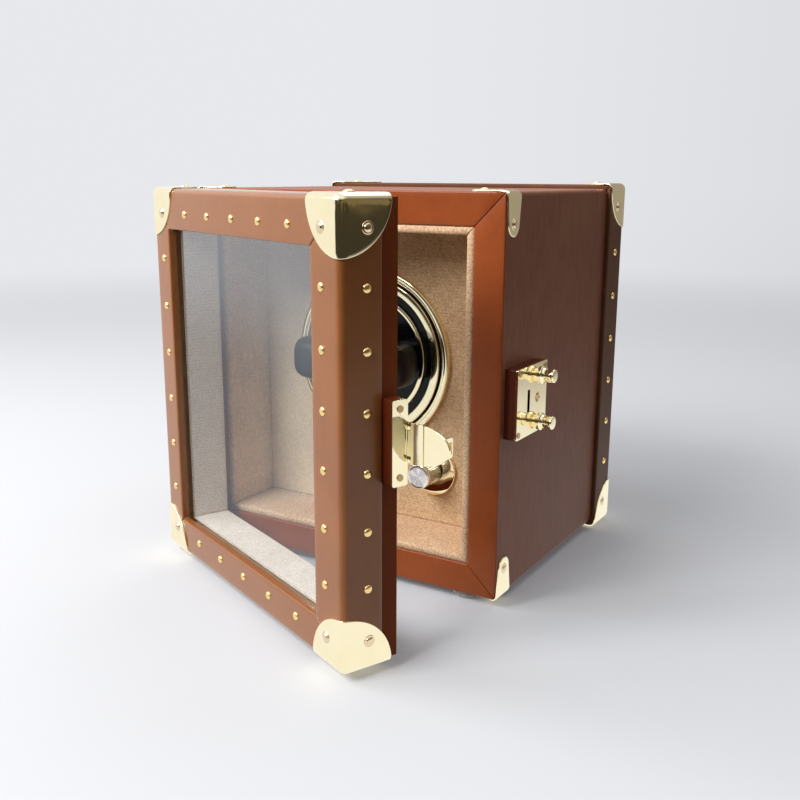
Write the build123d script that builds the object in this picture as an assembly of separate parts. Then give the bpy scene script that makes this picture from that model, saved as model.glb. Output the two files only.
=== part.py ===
from build123d import *
import math
import os

# Watch winder in a leather trunk case: glazed deep door on the left, hasp and lock on the right.
# Millimetres, +Z up, +Y to the back, origin at the centre of the case's underside.

# Case
CASE_W = 200.0
CASE_D = 165.0
CASE_H = 212.0
LEATHER = 1.2
BOARD = 15.8
CASE_EDGE_R = 2.5
RAIL_EDGE_R = 0.8
MITRE_GAP = 0.2

# Recess in the case front
RECESS_DEPTH = 37.0
LINER = 4.5
LINER_BEAD_R = 1.8
LINER_SETBACK = 0.2
PANEL_T = 4.0
PANEL_CLEAR = 0.15

# Rear leather band, battens and back panel
BAND_T = 2.5
BAND_SIDE_W = 25.5
BAND_BACK_W = 25.0
BAND_EDGE_R = 3.0
BATTEN = 11.0
BACK_PANEL_T = 2.0
BACK_PANEL_CLEAR = 0.2

# Brass corner caps and straps, and their rivets
CAP_R = 26.0
CAP_T = 0.8
CAP_CLEAR = 0.05
CAP_RIVET_INSET = 13.5
STRAP_W = 16.0
STRAP_TIP_R = 6.2
STRAP_LEG = 22.0
STRAP_FOOT_LEG = 10.5
STRAP_SETBACK = 0.4
RIVET_R = 2.9
RIVET_H = 1.0

# Dome nails
NAIL_R = 2.1
NAIL_H = 1.0
NAIL_ROWS = 6
NAIL_ROW_PITCH = 27.0
NAIL_COLUMNS = 5
NAIL_COLUMN_PITCH = 28.4

# Feet
FOOT_R = 9.5
FOOT_H = 4.5
FOOT_EDGE_R = 1.5
FOOT_FROM_SIDE = 20.5
FOOT_INSET = 12.0

# Door, drawn closed and then turned about its pivot
DOOR_D = 30.0
DOOR_SEAM = 0.6
DOOR_OPEN = 23.5
DOOR_TOP_RAIL = 22.0
DOOR_BOTTOM_RAIL = 20.0
DOOR_HINGE_STILE = 20.0
DOOR_LOCK_STILE = 24.0
DOOR_BAND_T = 1.2
DOOR_BAND_W = 21.4
DOOR_SKIN = 1.0
DOOR_EDGE_R = 3.0
DOOR_HEEL_R = 2.5
GLASS_T = 3.0
GLASS_LIP = 3.0
GLASS_REBATE = 4.0
GLASS_CLEAR = 0.1
DOOR_LINING_SETBACK = 0.3
DOOR_NAIL_TOP = 13.5
DOOR_NAIL_BOTTOM = 12.0
DOOR_NAIL_HINGE = 12.0
DOOR_NAIL_LOCK = 15.0
DOOR_NAIL_SIDE = 13.5

# Door pivots: flat arms set in the case board, pins held in the door's hinge stile
PIVOT_INSET = 5.0
PIVOT_REACH = 11.5
ARM_W = 6.0
ARM_T = 2.5
ARM_TAIL = 14.0
ARM_FROM_END = 31.0
ARM_CLEAR = 0.3
PIN_R = 1.5
PIN_RUN = 0.05
PIN_LEN = 18.0
DOOR_SWING = 105.0

# Hasp on the door's free side
HASP_H = 39.0
HASP_W = 8.2
HASP_BLOCK_T = 6.0
BRASS_T = 1.2
HASP_SETBACK = 0.2
KNUCKLE_R = 1.25
KNUCKLE_LIFT = 0.7
KNUCKLE_H = 18.0
FLAP_KNUCKLE_H = 11.6
KNUCKLE_GAP = 0.3
HASP_PIN_R = 0.6
HASP_PIN_RUN = 0.05
FLAP_LEN = 22.5
FLAP_H = 18.4
FLAP_STRAIGHT = 5.0
FLAP_JOGGLE = 0.4
FLAP_JOGGLE_AT = 8.5
FLAP_START = 1.7
FLAP_OPEN = 76.0
STAPLE_AT = 18.3
STAPLE_T = 1.4
STAPLE_H = 9.2
STAPLE_REACH = 6.3
EYE_H = 5.2
EYE_DEPTH = 2.5
HASP_SCREW_FROM_END = 4.0

# Lock on the case's right wall
LOCK_W = 37.0
LOCK_H = 37.0
LOCK_SETBACK = 4.5
LOCK_EDGE_R = 1.0
LOCK_BACK = 0.8
POCKET_H = 15.0
POCKET_FRONT = 15.8
POCKET_REAR = 37.0
SLOT_H = 12.0
SLOT_CLEAR = 0.3
SLOT_SWING = 1.4
KEY_AT = 30.0
KEY_R = 3.1
KEY_RUN = 0.08
KEY_CLEAR = 0.3
KEY_FACE_T = 2.1
KEY_WALL = 0.8
KEY_GROOVE = 1.5
KEY_POST_R = 1.0
KEY_TAIL_R = 1.5
BOLT_T = 1.9
BOLT_H = 3.6
BOLT_TRAVEL = 4.2
BOLT_TIP = 20.8
BOLT_END = 35.6
TONGUE_WALL = 1.2
STUD_AT = 28.5
STUD_SPREAD = 12.5
STUD_FOOT_R = 3.4
STUD_COLLAR_R = 4.7
STUD_WAIST_R = 3.1
STUD_HEAD_R = 3.5
STUD_COLLAR_AT = 1.2
STUD_WAIST_AT = 5.2
STUD_HEAD_AT = 7.0
STUD_LEN = 10.2
STUD_BEVEL = 0.7
LOCK_SCREW_INSET = 2.6

# Screws
SCREW_R = 0.8
SCREW_HEAD_R = 1.6
SCREW_HEAD_H = 0.4
BACK_SCREW_R = 1.2
BACK_SCREW_HEAD_R = 2.4
BACK_SCREW_HEAD_H = 1.0
BACK_SCREW_LEN = 8.0

# Rotor and its bezel
ROTOR_Z = 116.5
BEZEL_R = 51.5
BEZEL_BORE_R = 46.4
BEZEL_PROUD = 3.4
BEZEL_WALL = 0.7
BEZEL_EDGE_R = 1.5
ROTOR_R = 45.9
ROTOR_SETBACK = 2.0
ROTOR_FLANGE_T = 2.4
CUP_R = 33.2
CUP_WALL = 2.0
CUP_DEPTH = 12.0
CUP_BASE_T = 2.5
HUB_R = 8.0
HUB_LEN = 9.2
OUTER_TRIM_R = 45.7
OUTER_TRIM_BORE_R = 41.0
INNER_TRIM_R = 36.1
INNER_TRIM_BORE_R = 33.4
TRIM_T = 1.9
TRIM_BEVEL = 0.7

# Cushion, and its core with two prongs held in sockets, far enough apart for a watch strap
CUSHION_L = 77.0
CUSHION_H = 26.0
CUSHION_T = 25.7
CUSHION_R = 8.5
CUSHION_FRONT = 3.7
CORE_PLATE_W = 58.0
CORE_PLATE_H = 20.0
CORE_PLATE_T = 1.6
PRONG_X = 19.0
PRONG_W = 10.0
PRONG_H = 12.0
PRONG_LEN = 14.5
CORE_CLEAR = 0.3
SOCKET_WALL = 2.0

# Drive train
SHAFT_R = 3.0
SHAFT_RUN = 0.05
DRIVE_PLATE_T = 2.0
DRIVE_STANDOFF = 19.0
DRIVE_GAP = 10.0
DRIVE_PLATE_W = 104.0
STANDOFF_X = 46.0
STANDOFF_Z = 36.0
PILLAR_X = 34.0
PILLAR_UP = 30.0
PILLAR_DOWN = 46.0
PILLAR_R = 3.0
PLATE_MARGIN = 6.0
BUSH_R = 5.0
BUSH_FLANGE_R = 7.0
BUSH_FLANGE_T = 1.0
GEAR_MODULE = 0.8
GEAR_TEETH = 60
PINION_TEETH = 15
GEAR_T = 4.0
GEAR_HUB_R = 7.0
GEAR_HUB_T = 1.5
PINION_T = 5.0
MOTOR_R = 12.0
MOTOR_LEN = 30.0
MOTOR_BOSS_R = 4.0
MOTOR_SHAFT_R = 1.5
MOTOR_SHAFT_DEPTH = 16.0
MOTOR_SCREW_SPREAD = 8.5
MOTOR_SCREW_R = 1.25
MOTOR_SCREW_HEAD_R = 2.2

# Selector
KNOB_X = 41.0
KNOB_Z = 53.4
KNOB_R = 7.0
KNOB_LEN = 14.7
KNOB_GAP = 1.1
KNOB_FLUTES = 24
KNOB_FLUTE_R = 0.5
KNOB_RIM = 2.0
KNOB_SOCKET = 10.0
DISC_R = 15.0
DISC_T = 2.0
NECK_SETBACK = 0.3
NECK_R = 3.9
SWITCH_W = 16.0
SWITCH_D = 8.0
SELECTOR_SHAFT_R = 3.0
SELECTOR_RUN = 0.06

# Control board and power inlet
PCB_W = 60.0
PCB_D = 45.0
PCB_T = 1.6
PCB_LIFT = 6.0
PCB_FROM_BACK = 20.0
PCB_POST_R = 2.5
PCB_POST_INSET = 5.0
CHIP_W = 16.0
CHIP_D = 10.0
CHIP_T = 3.0
CAN_R = 4.0
CAN_H = 12.0
CAN_INSET = 12.0
PLUG_W = 12.0
PLUG_D = 6.0
PLUG_H = 7.0
PLUG_INSET = 8.0
INLET_FROM_SIDE = 48.0
INLET_Z = 42.0
INLET_R = 5.5
INLET_FLANGE_R = 6.8
INLET_FLANGE_T = 1.2
INLET_LEN = 14.0
INLET_BORE_R = 3.0
INLET_BORE_DEPTH = 10.0
INLET_PIN_R = 1.0
INLET_NUT_R = 9.0
INLET_NUT_T = 2.0

# Places worked out from the sizes
HALF_W = CASE_W / 2
INLET_X = HALF_W - INLET_FROM_SIDE
MID_Z = CASE_H / 2
FRONT = -CASE_D / 2
BACK = CASE_D / 2
RAIL_W = LEATHER + BOARD
RECESS_X = HALF_W - RAIL_W - LINER
RECESS_Z0 = RAIL_W + LINER
RECESS_Z1 = CASE_H - RAIL_W - LINER
PANEL_Y = FRONT + RECESS_DEPTH
PANEL_BACK = PANEL_Y + PANEL_T
ROTOR_Y = PANEL_Y - ROTOR_SETBACK
DOOR_REAR = FRONT - DOOR_SEAM
DOOR_FRONT = DOOR_REAR - DOOR_D
PIVOT_X = -HALF_W + PIVOT_INSET
PIVOT_Y = FRONT - PIVOT_REACH
ARM_HEIGHTS = (ARM_FROM_END, CASE_H - ARM_FROM_END)
BRASS_FACE = HALF_W + HASP_BLOCK_T + BRASS_T
FLAP_AXIS_X = BRASS_FACE + KNUCKLE_LIFT
FLAP_AXIS_Y = FRONT - DOOR_SEAM / 2
DRIVE_Y = PANEL_BACK + DRIVE_STANDOFF
REAR_PLATE_Y = DRIVE_Y + DRIVE_PLATE_T + DRIVE_GAP
GEAR_CENTRES = GEAR_MODULE * (GEAR_TEETH + PINION_TEETH) / 2
MOTOR_Z = ROTOR_Z - GEAR_CENTRES
FAR = 400.0

SIDE_DIRECTIONS = {
    "right": ((-1, 0, 0), (0, 0, -1)),
    "left": ((1, 0, 0), (0, 0, 1)),
    "top": ((0, 0, -1), (1, 0, 0)),
    "bottom": ((0, 0, 1), (-1, 0, 0)),
}


# Building blocks

def block(x, y, z):
    """Box between the low and high values given for each axis."""
    centre = Pos((x[0] + x[1]) / 2, (y[0] + y[1]) / 2, (z[0] + z[1]) / 2)
    return centre * Box(x[1] - x[0], y[1] - y[0], z[1] - z[0])


def rod_x(radius, span, y, z):
    return Pos((span[0] + span[1]) / 2, y, z) * Rot(0, 90, 0) * Cylinder(radius, span[1] - span[0])


def rod_y(radius, span, x, z):
    return Pos(x, (span[0] + span[1]) / 2, z) * Rot(90, 0, 0) * Cylinder(radius, span[1] - span[0])


def rod_z(radius, span, x, y):
    return Pos(x, y, (span[0] + span[1]) / 2) * Cylinder(radius, span[1] - span[0])


def tube_y(radius, bore, span, x, z):
    return rod_y(radius, span, x, z) - rod_y(bore, (span[0] - 1, span[1] + 1), x, z)


def turned_y(points, x, z):
    """Solid of revolution about a line along Y, from (radius, y) points."""
    section = make_face(Polyline(*[(r, y) for r, y in points], close=True))
    return Pos(x, 0, z) * revolve(section, Axis.Y)


def turned_x(points, y, z):
    """Solid of revolution about a line along X, from (x, radius) points."""
    section = make_face(Polyline(*[(x, r) for x, r in points], close=True))
    return Pos(0, y, z) * revolve(section, Axis.X)


def dome(radius, height):
    """Shallow dome with its flat back on the XY plane."""
    ball = (radius ** 2 + height ** 2) / (2 * height)
    cap = Pos(0, 0, height - ball) * Sphere(ball)
    return cap & block((-ball, ball), (-ball, ball), (0, height + 1))


def facing(shape, point, direction):
    """Place a shape drawn on the XY plane at a point, with its +Z along a direction."""
    return Plane(origin=point, z_dir=direction).location * shape


def hexagon_y(radius, bore, span, x, z):
    """Hexagon nut along Y."""
    outline = Plane(origin=(x, span[0], z), x_dir=(1, 0, 0), z_dir=(0, 1, 0)) * RegularPolygon(radius, 6)
    nut = extrude(outline, amount=span[1] - span[0], dir=(0, 1, 0))
    return nut - rod_y(bore, (span[0] - 1, span[1] + 1), x, z)


def prism_y(points):
    """Prism along Y, far beyond the case both ways, from (x, z) points."""
    outline = make_face(Polyline(*[(x, 0, z) for x, z in points], close=True))
    return extrude(outline, amount=FAR, dir=(0, 1, 0), both=True)


def mitre_wedge(side, outer, inner):
    """Prism along Y that holds one side of a mitred frame, from corner line to corner line."""
    ox0, ox1, oz0, oz1 = outer
    ix0, ix1, iz0, iz1 = inner
    corners = {
        "right": (((ox1, oz0), (ix1, iz0)), ((ox1, oz1), (ix1, iz1)), (0, 1)),
        "left": (((ox0, oz0), (ix0, iz0)), ((ox0, oz1), (ix0, iz1)), (0, 1)),
        "top": (((ox0, oz1), (ix0, iz1)), ((ox1, oz1), (ix1, iz1)), (1, 0)),
        "bottom": (((ox0, oz0), (ix0, iz0)), ((ox1, oz0), (ix1, iz0)), (1, 0)),
    }
    first, last, along = corners[side]
    shift = MITRE_GAP * math.sqrt(0.5)

    def reach(pair, sign, share):
        (ax, az), (bx, bz) = pair
        x = ax + share * (bx - ax) + sign * shift * along[0]
        z = az + share * (bz - az) + sign * shift * along[1]
        return (x, z)

    outer, inner = -0.5, 1.8
    return prism_y([reach(first, 1, outer), reach(last, -1, outer),
                    reach(last, -1, inner), reach(first, 1, inner)])


def mitred_frame(outer, inner, section):
    """Four strips round a rectangle, mitred at the corners.

    section(side) gives a face whose X runs inwards from the outer rectangle and whose Y is the case's Y.
    """
    x0, x1, z0, z1 = outer
    starts = {
        "right": (x1, 0, (z0 + z1) / 2),
        "left": (x0, 0, (z0 + z1) / 2),
        "top": ((x0 + x1) / 2, 0, z1),
        "bottom": ((x0 + x1) / 2, 0, z0),
    }
    strips = {}
    for side, (inwards, along) in SIDE_DIRECTIONS.items():
        plane = Plane(origin=starts[side], x_dir=inwards, z_dir=along)
        strip = extrude(plane * section(side), amount=CASE_W, both=True)
        strips[side] = strip & mitre_wedge(side, outer, inner)
    return strips


def rectangle_face(u, v):
    """Face between the low and high values given for each of two axes."""
    return Pos((u[0] + u[1]) / 2, (v[0] + v[1]) / 2) * Rectangle(u[1] - u[0], v[1] - v[0])


def rounded_envelope(x, y, z, radius, closed_end):
    """Box with its four edges along Y and the four at one end rounded."""
    body = block(x, y, z)
    end = body.faces().sort_by(Axis.Y)[closed_end]
    return fillet(body.edges().filter_by(Axis.Y) + end.edges(), radius)


def grown(rectangle, amount):
    """Rectangle (x0, x1, z0, z1) grown by the same amount on all sides."""
    x0, x1, z0, z1 = rectangle
    return (x0 - amount, x1 + amount, z0 - amount, z1 + amount)


def corner_cap(fold):
    """Brass cap for the corner of a body that fills the negative side of all three axes."""
    skin = CAP_CLEAR + CAP_T

    def octant(top, radius, depth):
        body = block((-depth, top), (-depth, top), (-depth, top))
        folds = [e for e in body.edges() if sum(abs(v - top) < 1e-6 for v in tuple(e.center())) == 2]
        return fillet(folds, radius)

    shell = octant(skin, fold + skin, CAP_R + 2) - octant(CAP_CLEAR, fold + CAP_CLEAR, CAP_R + 5)
    depth = (-fold - 1, skin + 1)
    quarters = rod_x(CAP_R, depth, 0, 0) + rod_y(CAP_R, depth, 0, 0) + rod_z(CAP_R, depth, 0, 0)
    return shell & quarters


def cap_set(half_width, y, y_out, z_low, z_high, fold):
    """Four corner caps and their rivets, for the end of a case at y that faces y_out."""
    one = corner_cap(fold)
    head = dome(RIVET_R, RIVET_H)
    lift = CAP_CLEAR + CAP_T
    pieces = []
    for x_out in (-1, 1):
        for z_out, z in ((-1, z_low), (1, z_high)):
            cap = one
            if x_out < 0:
                cap = mirror(cap, about=Plane.YZ)
            if y_out < 0:
                cap = mirror(cap, about=Plane.XZ)
            if z_out < 0:
                cap = mirror(cap, about=Plane.XY)
            corner = (x_out * half_width, y, z)
            pieces.append(Pos(*corner) * cap)
            outwards = (x_out, y_out, z_out)
            for axis in range(3):
                point = [corner[k] - outwards[k] * CAP_RIVET_INSET for k in range(3)]
                point[axis] = corner[axis] + outwards[axis] * lift
                direction = [0, 0, 0]
                direction[axis] = outwards[axis]
                pieces.append(facing(head, tuple(point), tuple(direction)))
    return pieces


def nail_rows():
    """Heights of the nails in an upright row."""
    return [MID_Z + NAIL_ROW_PITCH * (k - (NAIL_ROWS - 1) / 2) for k in range(NAIL_ROWS)]


def nail_columns():
    """Places across of the nails in a level row."""
    return [NAIL_COLUMN_PITCH * (k - (NAIL_COLUMNS - 1) / 2) for k in range(NAIL_COLUMNS)]


def write(name, *shapes):
    """Write one node, made of all the solids given."""
    solids = [solid for shape in shapes for solid in shape.solids()]
    export_step(solids[0] if len(solids) == 1 else Compound(solids), f"parts/{name}.step")


def door_pose(shape):
    """Turn a piece drawn on the closed door to where the door stands open."""
    return shape.rotate(Axis((PIVOT_X, PIVOT_Y, 0), (0, 0, 1)), -DOOR_OPEN)


def flap_pose(shape):
    """Turn a piece drawn on the closed flap to where the flap stands on the open door."""
    return door_pose(shape.rotate(Axis((FLAP_AXIS_X, FLAP_AXIS_Y, 0), (0, 0, 1)), -FLAP_OPEN))


# Case shell

def hinge_mortise(clear):
    """Room for the tails of both hinge arms in the case front."""
    room = None
    for z in ARM_HEIGHTS:
        one = block((PIVOT_X - ARM_W / 2 - clear, PIVOT_X + ARM_W / 2 + clear),
                    (FRONT - 1, FRONT + ARM_TAIL + clear),
                    (z - ARM_T / 2 - clear, z + ARM_T / 2 + clear))
        room = one if room is None else room + one
    return room


def make_boards():
    x_in = HALF_W - RAIL_W
    x_out = HALF_W - LEATHER
    depth = (FRONT + LEATHER, BACK)
    write("case_bottom_board", block((-x_out, x_out), depth, (LEATHER, RAIL_W)))
    write("case_top_board", block((-x_out, x_out), depth, (CASE_H - RAIL_W, CASE_H - LEATHER)))
    write("case_right_board", block((x_in, x_out), depth, (RAIL_W, CASE_H - RAIL_W)))
    left = block((-x_out, -x_in), depth, (RAIL_W, CASE_H - RAIL_W))
    write("case_left_board", left - hinge_mortise(PIN_RUN))


def make_sleeve():
    depth = (FRONT + LEATHER, BACK)
    outer = block((-HALF_W, HALF_W), depth, (0, CASE_H))
    outer = fillet(outer.edges().filter_by(Axis.Y), CASE_EDGE_R)
    inner = block((-HALF_W + LEATHER, HALF_W - LEATHER), (depth[0] - 1, depth[1] + 1),
                  (LEATHER, CASE_H - LEATHER))
    write("case_leather_sleeve", outer - inner)


def make_front_rails():
    outer = (-HALF_W, HALF_W, 0, CASE_H)
    inner = grown(outer, -RAIL_W)
    envelope = rounded_envelope((-HALF_W, HALF_W), (FRONT, FRONT + 10), (0, CASE_H), RAIL_EDGE_R, 0)
    corners = block((-HALF_W, HALF_W), (FRONT, FRONT + 10), (0, CASE_H))
    envelope = envelope & fillet(corners.edges().filter_by(Axis.Y), CASE_EDGE_R)
    strips = mitred_frame(outer, inner, lambda side: rectangle_face((0, RAIL_W), (FRONT, FRONT + LEATHER)))
    strips["left"] = strips["left"] - hinge_mortise(PIN_RUN)
    write("case_front_rails", *[strip & envelope for strip in strips.values()])


def make_recess():
    outer = grown((-HALF_W, HALF_W, 0, CASE_H), -RAIL_W)
    inner = grown(outer, -LINER)
    wall = rectangle_face((0, LINER), (FRONT + LINER_SETBACK, PANEL_BACK))
    front_corners = wall.vertices().group_by(Axis.Y)[0]
    wall = fillet(front_corners, LINER_BEAD_R)
    write("recess_liner", *mitred_frame(outer, inner, lambda side: wall).values())
    panel = block((-RECESS_X + PANEL_CLEAR, RECESS_X - PANEL_CLEAR), (PANEL_Y, PANEL_BACK),
                  (RECESS_Z0 + PANEL_CLEAR, RECESS_Z1 - PANEL_CLEAR))
    through = (PANEL_Y - 1, PANEL_BACK + 1)
    panel -= rod_y(BEZEL_BORE_R + BEZEL_WALL, through, 0, ROTOR_Z)
    panel -= rod_y(NECK_R, through, KNOB_X, KNOB_Z)
    write("winder_panel", panel)


def make_back():
    frame = (-HALF_W - BAND_T, HALF_W + BAND_T, -BAND_T, CASE_H + BAND_T)
    rear = BACK + BAND_T
    side_leg = rectangle_face((0, BAND_T), (rear - BAND_SIDE_W, rear))
    back_leg = rectangle_face((0, BAND_BACK_W), (BACK, rear))
    section = side_leg + back_leg
    envelope = rounded_envelope(frame[:2], (rear - BAND_SIDE_W, rear), frame[2:], BAND_EDGE_R, -1)
    strips = mitred_frame(frame, grown(frame, -BAND_BACK_W), lambda side: section)
    write("rear_band", *[strip & envelope for strip in strips.values()])

    opening = grown((-HALF_W, HALF_W, 0, CASE_H), -RAIL_W)
    screws = back_screw_places()
    pilots = [rod_y(BACK_SCREW_R, (BACK - BACK_SCREW_LEN, BACK + BACK_PANEL_T), x, z) for x, z in screws]
    section = rectangle_face((0, BATTEN), (BACK - BATTEN, BACK))
    battens = mitred_frame(opening, grown(opening, -BATTEN), lambda side: section)
    for side in battens:
        for pilot in pilots:
            battens[side] = battens[side] - pilot
    write("back_battens", *battens.values())

    x0, x1, z0, z1 = grown(frame, -BAND_BACK_W - BACK_PANEL_CLEAR)
    panel = block((x0, x1), (BACK, BACK + BACK_PANEL_T), (z0, z1))
    for pilot in pilots:
        panel -= pilot
    panel -= rod_y(INLET_R, (BACK - 1, BACK + BACK_PANEL_T + 1), INLET_X, INLET_Z)
    write("back_panel", panel)


def back_screw_places():
    """Centres of the back panel's screws, on the middle of the batten that the panel covers."""
    edge = HALF_W + BAND_T - BAND_BACK_W
    reach = HALF_W - RAIL_W - BATTEN
    across = (edge + reach) / 2
    up = MID_Z + BAND_T - BAND_BACK_W
    height = (up + MID_Z - RAIL_W - BATTEN) / 2
    return [(side * across, MID_Z + level * height) for side in (-1, 1) for level in (-1, 0, 1)]


def make_case_brass():
    half = HALF_W + BAND_T
    caps = cap_set(half, BACK + BAND_T, 1, -BAND_T, CASE_H + BAND_T, BAND_EDGE_R)
    write("rear_corner_caps", *caps)
    write("front_corner_straps", *corner_straps())
    write("case_nails", *case_nails())


def corner_straps():
    """Straps folded over the long edges at the front corners, with a rivet in each leg."""
    lift = CAP_CLEAR + CAP_T
    y = (FRONT + STRAP_SETBACK, FRONT + STRAP_SETBACK + STRAP_W)
    middle = (y[0] + y[1]) / 2
    outer = fillet(fold_edge(block((-FAR, lift), y, (-FAR, lift)), lift), CASE_EDGE_R + lift)
    inner = block((-FAR - 1, CAP_CLEAR), (y[0] - 1, y[1] + 1), (-FAR - 1, CAP_CLEAR))
    shell = outer - fillet(fold_edge(inner, CAP_CLEAR), CASE_EDGE_R + CAP_CLEAR)
    head = dome(RIVET_R, RIVET_H)
    pieces = []
    for z_out, z_edge, level_leg in ((1, CASE_H, STRAP_LEG), (-1, 0, STRAP_FOOT_LEG)):
        side = strap_leg(STRAP_LEG, middle)
        level = strap_leg(level_leg, middle).rotate(Axis.Y, -90)
        level = mirror(level, about=Plane.XY)
        strap = shell & (side + level)
        if z_out < 0:
            strap = mirror(strap, about=Plane.XY)
        for x_out in (-1, 1):
            turned = strap if x_out > 0 else mirror(strap, about=Plane.YZ)
            pieces.append(Pos(x_out * HALF_W, 0, z_edge) * turned)
            side_z = z_edge - z_out * (STRAP_LEG - STRAP_TIP_R)
            pieces.append(facing(head, (x_out * (HALF_W + lift), middle, side_z), (x_out, 0, 0)))
            if z_out > 0:
                level_x = x_out * (HALF_W - level_leg + STRAP_TIP_R)
                pieces.append(facing(head, (level_x, middle, z_edge + lift), (0, 0, 1)))
    return pieces


def strap_leg(length, middle):
    """Block in the outline of a strap's leg: full width at the fold, narrowing to a round tip below."""
    depth = CASE_EDGE_R + 2
    half = STRAP_W / 2
    tip = STRAP_TIP_R - length
    outline = Polyline((0, middle - half, depth), (0, middle + half, depth), (0, middle + half, -CASE_EDGE_R),
                       (0, middle + STRAP_TIP_R, tip), (0, middle - STRAP_TIP_R, tip),
                       (0, middle - half, -CASE_EDGE_R), close=True)
    leg = extrude(make_face(outline), amount=depth, dir=(1, 0, 0), both=True)
    return leg + rod_x(STRAP_TIP_R, (-depth, depth), middle, tip)


def fold_edge(body, top):
    """The edge along Y where both X and Z are at their highest."""
    edges = body.edges().filter_by(Axis.Y)
    return [e for e in edges if abs(e.center().X - top) < 1e-6 and abs(e.center().Z - top) < 1e-6]


def case_nails():
    """Dome nails along the rear band, on its side faces and on its back face."""
    head = dome(NAIL_R, NAIL_H)
    side_y = BACK + BAND_T - BAND_SIDE_W / 2
    rear = BACK + BAND_T
    out = BAND_T - BAND_BACK_W / 2
    nails = []
    for z in nail_rows():
        for side in (-1, 1):
            nails.append(facing(head, (side * (HALF_W + BAND_T), side_y, z), (side, 0, 0)))
            nails.append(facing(head, (side * (HALF_W + out), rear, z), (0, 1, 0)))
    for x in nail_columns():
        for z_out, z in ((-1, 0), (1, CASE_H)):
            nails.append(facing(head, (x, rear, z + z_out * out), (0, 1, 0)))
    return nails


def make_feet():
    foot = fillet(Cylinder(FOOT_R, FOOT_H).edges().sort_by(Axis.Z)[0], FOOT_EDGE_R)
    foot_x = HALF_W - FOOT_FROM_SIDE
    foot_y = (FRONT + FOOT_INSET, BACK - BAND_SIDE_W - FOOT_INSET)
    places = [(x, y) for x in (-foot_x, foot_x) for y in foot_y]
    write("feet", *[Pos(x, y, -FOOT_H / 2) * foot for x, y in places])


def make_hinge():
    arms = []
    for z in ARM_HEIGHTS:
        span = (z - ARM_T / 2, z + ARM_T / 2)
        arm = block((PIVOT_X - ARM_W / 2, PIVOT_X + ARM_W / 2), (PIVOT_Y, FRONT + ARM_TAIL), span)
        arm += rod_z(ARM_W / 2, span, PIVOT_X, PIVOT_Y)
        arms.append(arm - rod_z(PIN_R + PIN_RUN, (span[0] - 1, span[1] + 1), PIVOT_X, PIVOT_Y))
    write("hinge_arms", *arms)
    pins = [rod_z(PIN_R, (z - PIN_LEN / 2, z + PIN_LEN / 2), PIVOT_X, PIVOT_Y) for z in ARM_HEIGHTS]
    write("hinge_pins", *[door_pose(pin) for pin in pins])


# Lock on the case's right wall

def lock_screw_places():
    """Centres of the lock plate's corner screws, as (y, z)."""
    y0 = FRONT + LOCK_SETBACK
    dy = (LOCK_SCREW_INSET, LOCK_W - LOCK_SCREW_INSET)
    dz = LOCK_H / 2 - LOCK_SCREW_INSET
    return [(y0 + y, MID_Z + z) for y in dy for z in (-dz, dz)]


def make_lock():
    y = (FRONT + LOCK_SETBACK, FRONT + LOCK_SETBACK + LOCK_W)
    z = (MID_Z - LOCK_H / 2, MID_Z + LOCK_H / 2)
    face = HALF_W + HASP_BLOCK_T
    pocket = block((HALF_W + LOCK_BACK, face + 1), (FRONT + POCKET_FRONT, FRONT + POCKET_REAR),
                   (MID_Z - POCKET_H / 2, MID_Z + POCKET_H / 2))
    body = block((HALF_W, face), y, z)
    body = fillet(body.edges().filter_by(Axis.X), LOCK_EDGE_R) - pocket
    plate = block((face, BRASS_FACE), y, z)
    plate = fillet(plate.edges().filter_by(Axis.X), LOCK_EDGE_R)
    hinge_y = FLAP_AXIS_Y + STAPLE_AT
    slot_y = (hinge_y - STAPLE_T / 2 - SLOT_CLEAR, hinge_y + STAPLE_T / 2 + SLOT_SWING)
    plate -= block((face - 1, BRASS_FACE + 1), slot_y, (MID_Z - SLOT_H / 2, MID_Z + SLOT_H / 2))
    plate -= rod_x(KEY_R + KEY_RUN, (face - 1, BRASS_FACE + 1), FRONT + KEY_AT, MID_Z)
    for sy, sz in lock_screw_places():
        hole = rod_x(SCREW_R, (HALF_W + 1, BRASS_FACE + 1), sy, sz)
        body -= hole
        plate -= hole
    write("lock_block", body)
    write("lock_plate", plate)
    write("bumper_studs", *[bumper_stud(MID_Z + side * STUD_SPREAD) for side in (-1, 1)])
    write("key_barrel", key_barrel())
    write("lock_bolt", lock_bolt())


def bumper_stud(z):
    """Turned stud: foot, broad collar, waist and rounded head."""
    x = BRASS_FACE
    end = x + STUD_LEN
    outline = [(x, 0), (x, STUD_FOOT_R), (x + STUD_COLLAR_AT - STUD_BEVEL / 2, STUD_FOOT_R),
               (x + STUD_COLLAR_AT, STUD_COLLAR_R), (x + STUD_WAIST_AT - STUD_BEVEL * 2, STUD_COLLAR_R),
               (x + STUD_WAIST_AT - STUD_BEVEL, STUD_COLLAR_R - STUD_BEVEL),
               (x + STUD_WAIST_AT, STUD_WAIST_R),
               (x + STUD_HEAD_AT - STUD_BEVEL, STUD_WAIST_R), (x + STUD_HEAD_AT, STUD_HEAD_R),
               (end - STUD_BEVEL, STUD_HEAD_R), (end, STUD_HEAD_R - STUD_BEVEL), (end, 0)]
    return turned_x(outline, FRONT + STUD_AT, z)


def key_barrel():
    """Round key post in a cup, with a tail behind that drives the bolt."""
    front = BRASS_FACE - 0.2
    seat = front - KEY_FACE_T
    y = FRONT + KEY_AT
    body = rod_x(KEY_R, (seat, front), y, MID_Z)
    groove = rod_x(KEY_R - KEY_WALL, (front - KEY_GROOVE, front + 1), y, MID_Z)
    groove -= rod_x(KEY_POST_R, (seat - 1, front + 2), y, MID_Z)
    tail = rod_x(KEY_TAIL_R, (HALF_W + LOCK_BACK + KEY_CLEAR, seat), y, MID_Z)
    return body - groove + tail


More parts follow.
